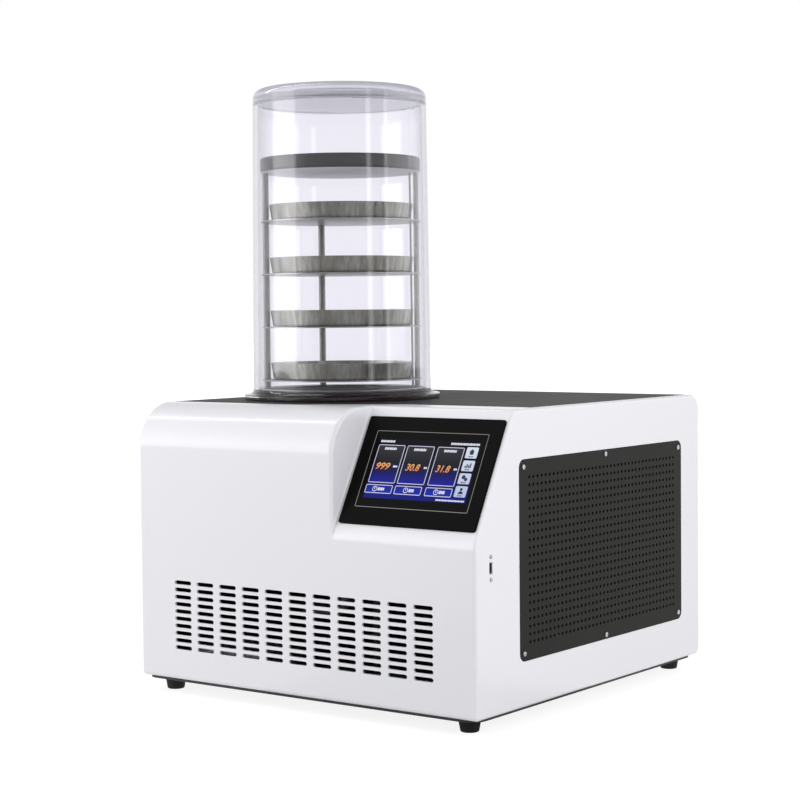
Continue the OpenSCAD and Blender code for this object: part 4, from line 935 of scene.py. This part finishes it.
def glowing(name, stops):
    """A glow that changes up the screen. Stops are (mm above the glass's lower edge, colour)."""
    f = Finish(name, Base_Color=(0.003, 0.003, 0.004, 1), Roughness=0.12, Specular_IOR_Level=0.05,
               Emission_Strength=1.0)
    up_screen = (f.along(slope_up) - glass_low) / (glass_h * MM)
    grain = f.noise(3000, detail=1)
    colour = f.ramp(up_screen, [(at / glass_h, c) for at, c in stops])
    f.drive("Emission Color", f.blend(grain * 0.2, colour, (0, 0, 0)))
    return f


field_ink = glowing("field ink", [(14, (0.006, 0.012, 0.220)), (76, (0.002, 0.002, 0.005)),
                                  (34, (0.006, 0.009, 0.100)), (50, (0.004, 0.004, 0.014))])
panel_ink = glowing("panel ink", [(34, (0.010, 0.014, 0.330)), (80, (0.034, 0.034, 0.040)),
                                  (48, (0.010, 0.010, 0.085)), (60, (0.014, 0.013, 0.020))])
button_ink = glowing("button ink", [(18, (0.012, 0.030, 0.460)), (30, (0.009, 0.018, 0.300))])
line_ink = glowing("line ink", [(0, (0.72, 0.74, 0.95)), (90, (0.66, 0.68, 0.86))])
mark_ink = glowing("mark ink", [(0, (0.80, 0.82, 0.95)), (90, (0.80, 0.82, 0.95))])
number_ink = glowing("number ink", [(49, (0.86, 0.22, 0.03)), (60, (0.95, 0.52, 0.16))])
pale_ink = glowing("pale ink", [(20, (0.52, 0.58, 0.82)), (84, (0.74, 0.80, 0.90))])
dark_ink = glowing("dark ink", [(20, (0.03, 0.04, 0.09)), (84, (0.03, 0.04, 0.09))])
edge_ink = glowing("edge ink", [(0, (0.30, 0.30, 0.29)), (101, (0.24, 0.24, 0.23))])
print("nine inks are ready")


# %% Shapes on the glass
LAYER, GLASS, DIGITS = 0.04, 0.01, 0.03


class Picture:
    """Thin shapes that stand on the glass, GLASS mm over it, in layers of LAYER mm."""

    def __init__(self):
        self.points, self.faces, self.inks, self.used = [], [], [], []

    def add(self, points, faces, ink):
        if ink not in self.inks:
            self.inks.append(ink)
        self.faces += [[len(self.points) + i for i in face] for face in faces]
        self.used += [self.inks.index(ink)] * len(faces)
        self.points += points

    def shape(self, outline, layer, ink):
        n = len(outline)
        self.add([on_glass(u, v, w) for w in (GLASS, layer * LAYER) for u, v in outline],
                 band(0, n, n) + [list(range(n))[::-1], list(range(n, 2 * n))], ink)

    def bar(self, u0, v0, u1, v1, layer, ink, r=0.0):
        w, h = u1 - u0, v1 - v0
        outline = round_rect(w, h, r, 3) if r else [(0, 0), (w, 0), (w, h), (0, h)]
        self.shape([(u0 + u, v0 + v) for u, v in outline], layer, ink)

    def outline(self, u0, v0, u1, v1, line, r, layer, ink):
        w, h = u1 - u0, v1 - v0
        outer = [(u0 + u, v0 + v) for u, v in round_rect(w, h, r, 4)]
        inner = [(u0 + line + u, v0 + line + v)
                 for u, v in round_rect(w - 2 * line, h - 2 * line, max(0.1, r - line), 4)]
        n = len(outer)
        points = [on_glass(u, v, at) for loop in (outer, inner)
                  for at in (GLASS, layer * LAYER) for u, v in loop]
        faces = band(0, n, n) + band(n, 3 * n, n) + band(3 * n, 2 * n, n) + band(2 * n, 0, n)
        self.add(points, faces, ink)

    def dot(self, u, v, r, layer, ink):
        self.shape(arc((u, v), r, 0, 345, 23), layer, ink)

    def marks(self, u0, u1, v, height, ink, about=2.3):
        """A row of plain marks in layer 5, about so many mm from one to the next."""
        count, space = max(1, round((u1 - u0) / about)), 0.45
        pitch = (u1 - u0) / count
        for i in range(count):
            tall, left = height * (1.0, 0.85, 0.95, 0.8)[i % 4], u0 + i * pitch
            self.bar(left, v - tall / 2, u0 + (i + 1) * pitch - space, v + tall / 2, 5, ink)

    def number(self, text, u, v, wide, tall, ink):
        """Slanted digits in layer 6, wide by tall mm round the point (u, v), DIGITS mm thick."""
        curve = bpy.data.curves.new("digits", "FONT")
        curve.body, curve.shear, curve.offset, curve.resolution_u = text, 0.25, 0.018, 3
        curve.extrude = 0.001
        digits = new_object("digits", curve)
        plain = plain_mesh(digits)
        xs, ys = [p.co.x for p in plain.vertices], [p.co.y for p in plain.vertices]
        left, foot = min(xs), min(ys)
        sx, sy = wide / (max(xs) - left), tall / (max(ys) - foot)
        self.add([on_glass(u + (p.co.x - left) * sx - wide / 2, v + (p.co.y - foot) * sy - tall / 2,
                           6 * LAYER + (0 if p.co.z > 0 else -DIGITS)) for p in plain.vertices],
                 [list(f.vertices) for f in plain.polygons], ink)
        bpy.data.objects.remove(digits)

    def piece(self, name):
        made = mesh_piece(name, self.points, self.faces, self.inks[0])
        for ink in self.inks[1:]:
            made.data.materials.append(ink.material)
        for face, used in zip(made.data.polygons, self.used):
            face.material_index = used
        return made


# %% The picture
picture = Picture()
picture.outline(0.2, 0.2, 164.8, 101.3, 0.8, 1.4, 1, edge_ink)
picture.bar(8.9, 12.4, 157.5, 90.9, 1, field_ink)
for (u0, u1), (t0, t1), reading, middle_u, unit in (
        ((9.1, 48.9), (19.6, 37.5), "999", 24.6, (39.5, 46.1)),
        ((52.5, 92.3), (63.3, 81.4), "30.8", 69.0, (85.2, 90.1)),
        ((97.2, 135.7), (107.5, 125.7), "31.8", 113.0, (128.6, 133.5))):
    picture.bar(u0 + 0.4, 32.9, u1 - 0.4, 82.3, 2, panel_ink, 1.2)
    picture.outline(u0, 32.5, u1, 82.7, 0.9, 1.6, 3, line_ink)
    picture.marks(t0, t1, 77.6, 3.4, mark_ink)
    picture.number(reading, middle_u, 54.3, 20.5, 9.2, number_ink)
    picture.marks(*unit, 54.5, 2.6, mark_ink, about=3.2)
for (u0, u1), icon_u, end_u in (((8.2, 48.1), 22.4, 37.0), ((51.9, 91.3), 68.4, 80.6),
                                ((96.7, 135.3), 112.5, 125.4)):
    picture.bar(u0 + 0.4, 19.1, u1 - 0.4, 29.6, 2, button_ink, 1.2)
    picture.outline(u0, 18.7, u1, 30.0, 0.9, 1.6, 3, line_ink)
    picture.dot(icon_u, 24.4, 3.6, 4, mark_ink)
    picture.dot(icon_u, 24.4, 2.7, 5, button_ink)
    picture.bar(icon_u - 0.5, 23.6, icon_u + 0.5, 26.4, 6, mark_ink)
    picture.marks(icon_u + 4.6, end_u, 24.4, 4.2, mark_ink, about=2.6)
for v0, v1 in ((69.5, 83.8), (53.0, 66.6), (36.5, 50.2), (19.7, 33.8)):
    picture.bar(139.0, v0, 155.5, v1, 3, pale_ink, 1.5)
picture.shape([(143.4, 77.6), (151.0, 77.6), (147.2, 81.6)], 5, dark_ink)
picture.bar(144.6, 74.2, 149.8, 77.8, 5, dark_ink)
for i, tall in enumerate((3.0, 5.0, 4.0, 6.2)):
    picture.bar(142.6 + i * 2.4, 57.0, 144.2 + i * 2.4, 57.0 + tall, 5, dark_ink)
picture.dot(145.6, 45.2, 2.6, 5, dark_ink)
picture.dot(149.4, 42.4, 2.2, 5, dark_ink)
picture.dot(147.3, 29.6, 1.9, 5, dark_ink)
picture.shape(arc((147.3, 23.8), 3.6, 0, 180, 10), 5, dark_ink)
for v in (71.6, 54.9, 38.4, 21.5):
    picture.marks(144.0, 150.6, v, 1.3, dark_ink, about=2.2)
picture.marks(10.5, 31.8, 87.2, 3.0, mark_ink)
picture.marks(114.4, 155.8, 87.2, 3.0, mark_ink)
picture.marks(115.3, 156.3, 14.6, 2.2, mark_ink)
screen_picture = picture.piece("screen_picture")
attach(screen_picture, BODY_OF["screen_glass"])
print("picture:", len(screen_picture.data.polygons), "faces,", len(picture.inks), "inks")

# %% [markdown]
# ## Lights
#
# The room is drawn as a ring of bright and dark walls: white behind the machine, dark round the
# camera, one wide bright wall on the left and two narrow ones on the right, which draw the upright
# highlights on the bell. They grow darker towards the ceiling. Mirrors see this ring, while soft
# light comes evenly from all round, and what is seen straight through the bell is nearly white.
# Three soft boxes light the body without being mirrored in it, and a strip overhead draws the line
# along the body's large round.

# %% Sky and ring of walls
world = bpy.data.worlds.new("studio")
scene.world = world
world.use_nodes = True
sky = Tree(world.node_tree, "Generated")
background = world.node_tree.nodes["Background"]
to_camera = Vector((-ahead.x, -ahead.y, 0)).normalized()
to_right = Vector((level.x, level.y, 0)).normalized()
round_share = sky.along(to_right).angle_to(sky.along(to_camera)) * (1 / math.tau) + 0.5

BRIGHTEST, SOFT_LEVEL = 3.6, 0.42
SEEN_THROUGH, SEEN_MIRRORED = 0.97, 0.65
WALLS = (  # degrees round from the camera, and brightness
    (-180, 1.0), (-125, 1.1), (-99, 1.3), (-96, 3.6), (-62, 3.6), (-58, 0.9), (-34, 0.48),
    (35, 0.42), (38.5, 2.8), (41, 2.8), (45, 0.45), (62, 0.5), (64, 3.4), (66, 3.4), (67.5, 1.7),
    (118, 1.8), (140, 1.0))
walls = sky.ramp(round_share, [((angle + 180) / 360, (bright / BRIGHTEST,) * 3)
                               for angle, bright in (WALLS[0], WALLS[-1], *WALLS[1:-1])])
height = sky.node("ShaderNodeSeparateXYZ", {}, {0: sky.place}, "Z")
ceiling = sky.node("ShaderNodeMapRange", {"interpolation_type": "SMOOTHSTEP"}, {
    "Value": height, "From Min": 0.15, "From Max": 0.50, "To Min": 1.0, "To Max": 0.45})
to_eye, soft_ray, clear_ray, bounces = sky.rays(
    "Is Camera Ray", "Is Diffuse Ray", "Is Transmission Ray", "Glossy Depth")
least = bounces.smallest(1.0) * (SEEN_MIRRORED - SEEN_THROUGH) + SEEN_THROUGH
walls = (walls * BRIGHTEST * ceiling).largest(clear_ray * least)
strength = sky.node("ShaderNodeMix", {"data_type": "FLOAT"}, {
    0: soft_ray, 2: walls, 3: SOFT_LEVEL})
strength = sky.node("ShaderNodeMix", {"data_type": "FLOAT"}, {0: to_eye, 2: strength, 3: 1.0})
sky.tree.links.new(strength.socket, background.inputs["Strength"])
background.inputs["Color"].default_value = (1, 1, 1, 1)
print("studio:", len(WALLS), "points on the ring of walls")


# %% Lamps
def soft_box(name, place, aim, width, height, power):
    data = bpy.data.lights.new(name, "AREA")
    data.shape, data.size, data.size_y, data.energy = "RECTANGLE", width, height, power
    lamp = new_object(name, data)
    lamp.location = place
    lamp.rotation_mode = "QUATERNION"
    lamp.rotation_quaternion = (Vector(aim) - Vector(place)).to_track_quat("-Z", "Y")
    return lamp


middle = Vector((0, 0, 0.35))
soft_box("overhead strip", in_body(-1000, -170, 2000), in_body(200, 20, 400), 0.12, 2.4, 10)
for name, place, width, power in (("right box", (2.7, -0.5, 1.5), 1.8, 44),
                                  ("left box", (-2.2, -2.05, 1.0), 2.2, 41),
                                  ("rear box", (-1.0, 3.0, 1.3), 2.2, 34)):
    box = soft_box(name, place, middle, width, 1.8, power)
    box.visible_glossy = box.visible_transmission = False

# %% [markdown]
# ## Floor
#
# The floor is white paper that runs out of sight. To the eye most of it is light of its own, a bit
# brighter further away, so the background stays even, and the rest is real paper that keeps the
# machine's shadow. Towards the camera it is unlit, like the wall there, for what mirrors it.

# %% Floor
paper = Finish("paper", Base_Color=(0.85, 0.85, 0.86, 1), Roughness=0.9, Specular_IOR_Level=0.0)
to_eye, soft_ray, gloss_ray, clear_ray, bounces = paper.rays(
    "Is Camera Ray", "Is Diffuse Ray", "Is Glossy Ray", "Is Transmission Ray", "Glossy Depth")
distance = paper.node("ShaderNodeVectorMath", {"operation": "LENGTH"}, {0: paper.place}, "Value")
own_to_eye, own_to_soft, soft_white = 0.72, 0.60, 0.70
white, per_metre, dark_side = 1.18, 0.05, 0.62
unlit = (paper.along(to_camera) / distance) > dark_side
own = (to_eye * own_to_eye).largest(soft_ray * own_to_soft).largest(gloss_ray.largest(clear_ray))
shine = (to_eye * (white + distance * per_metre)).largest(soft_ray * soft_white)
shine = shine.largest(gloss_ray * (1 - unlit * 0.75))
shine = shine.largest(clear_ray * (1 - unlit * (bounces > 0.5) * 0.5))
paper.swap(own, paper.node("ShaderNodeEmission", {}, {"Color": shine}))
far = 20
floor = mesh_piece("floor", [(-far, -far, 0), (far, -far, 0), (far, far, 0), (-far, far, 0)],
                   [[0, 1, 2, 3]], paper)
print("floor:", 2 * far, "m square")

# %% Finish
scene.view_settings.view_transform = "Standard"
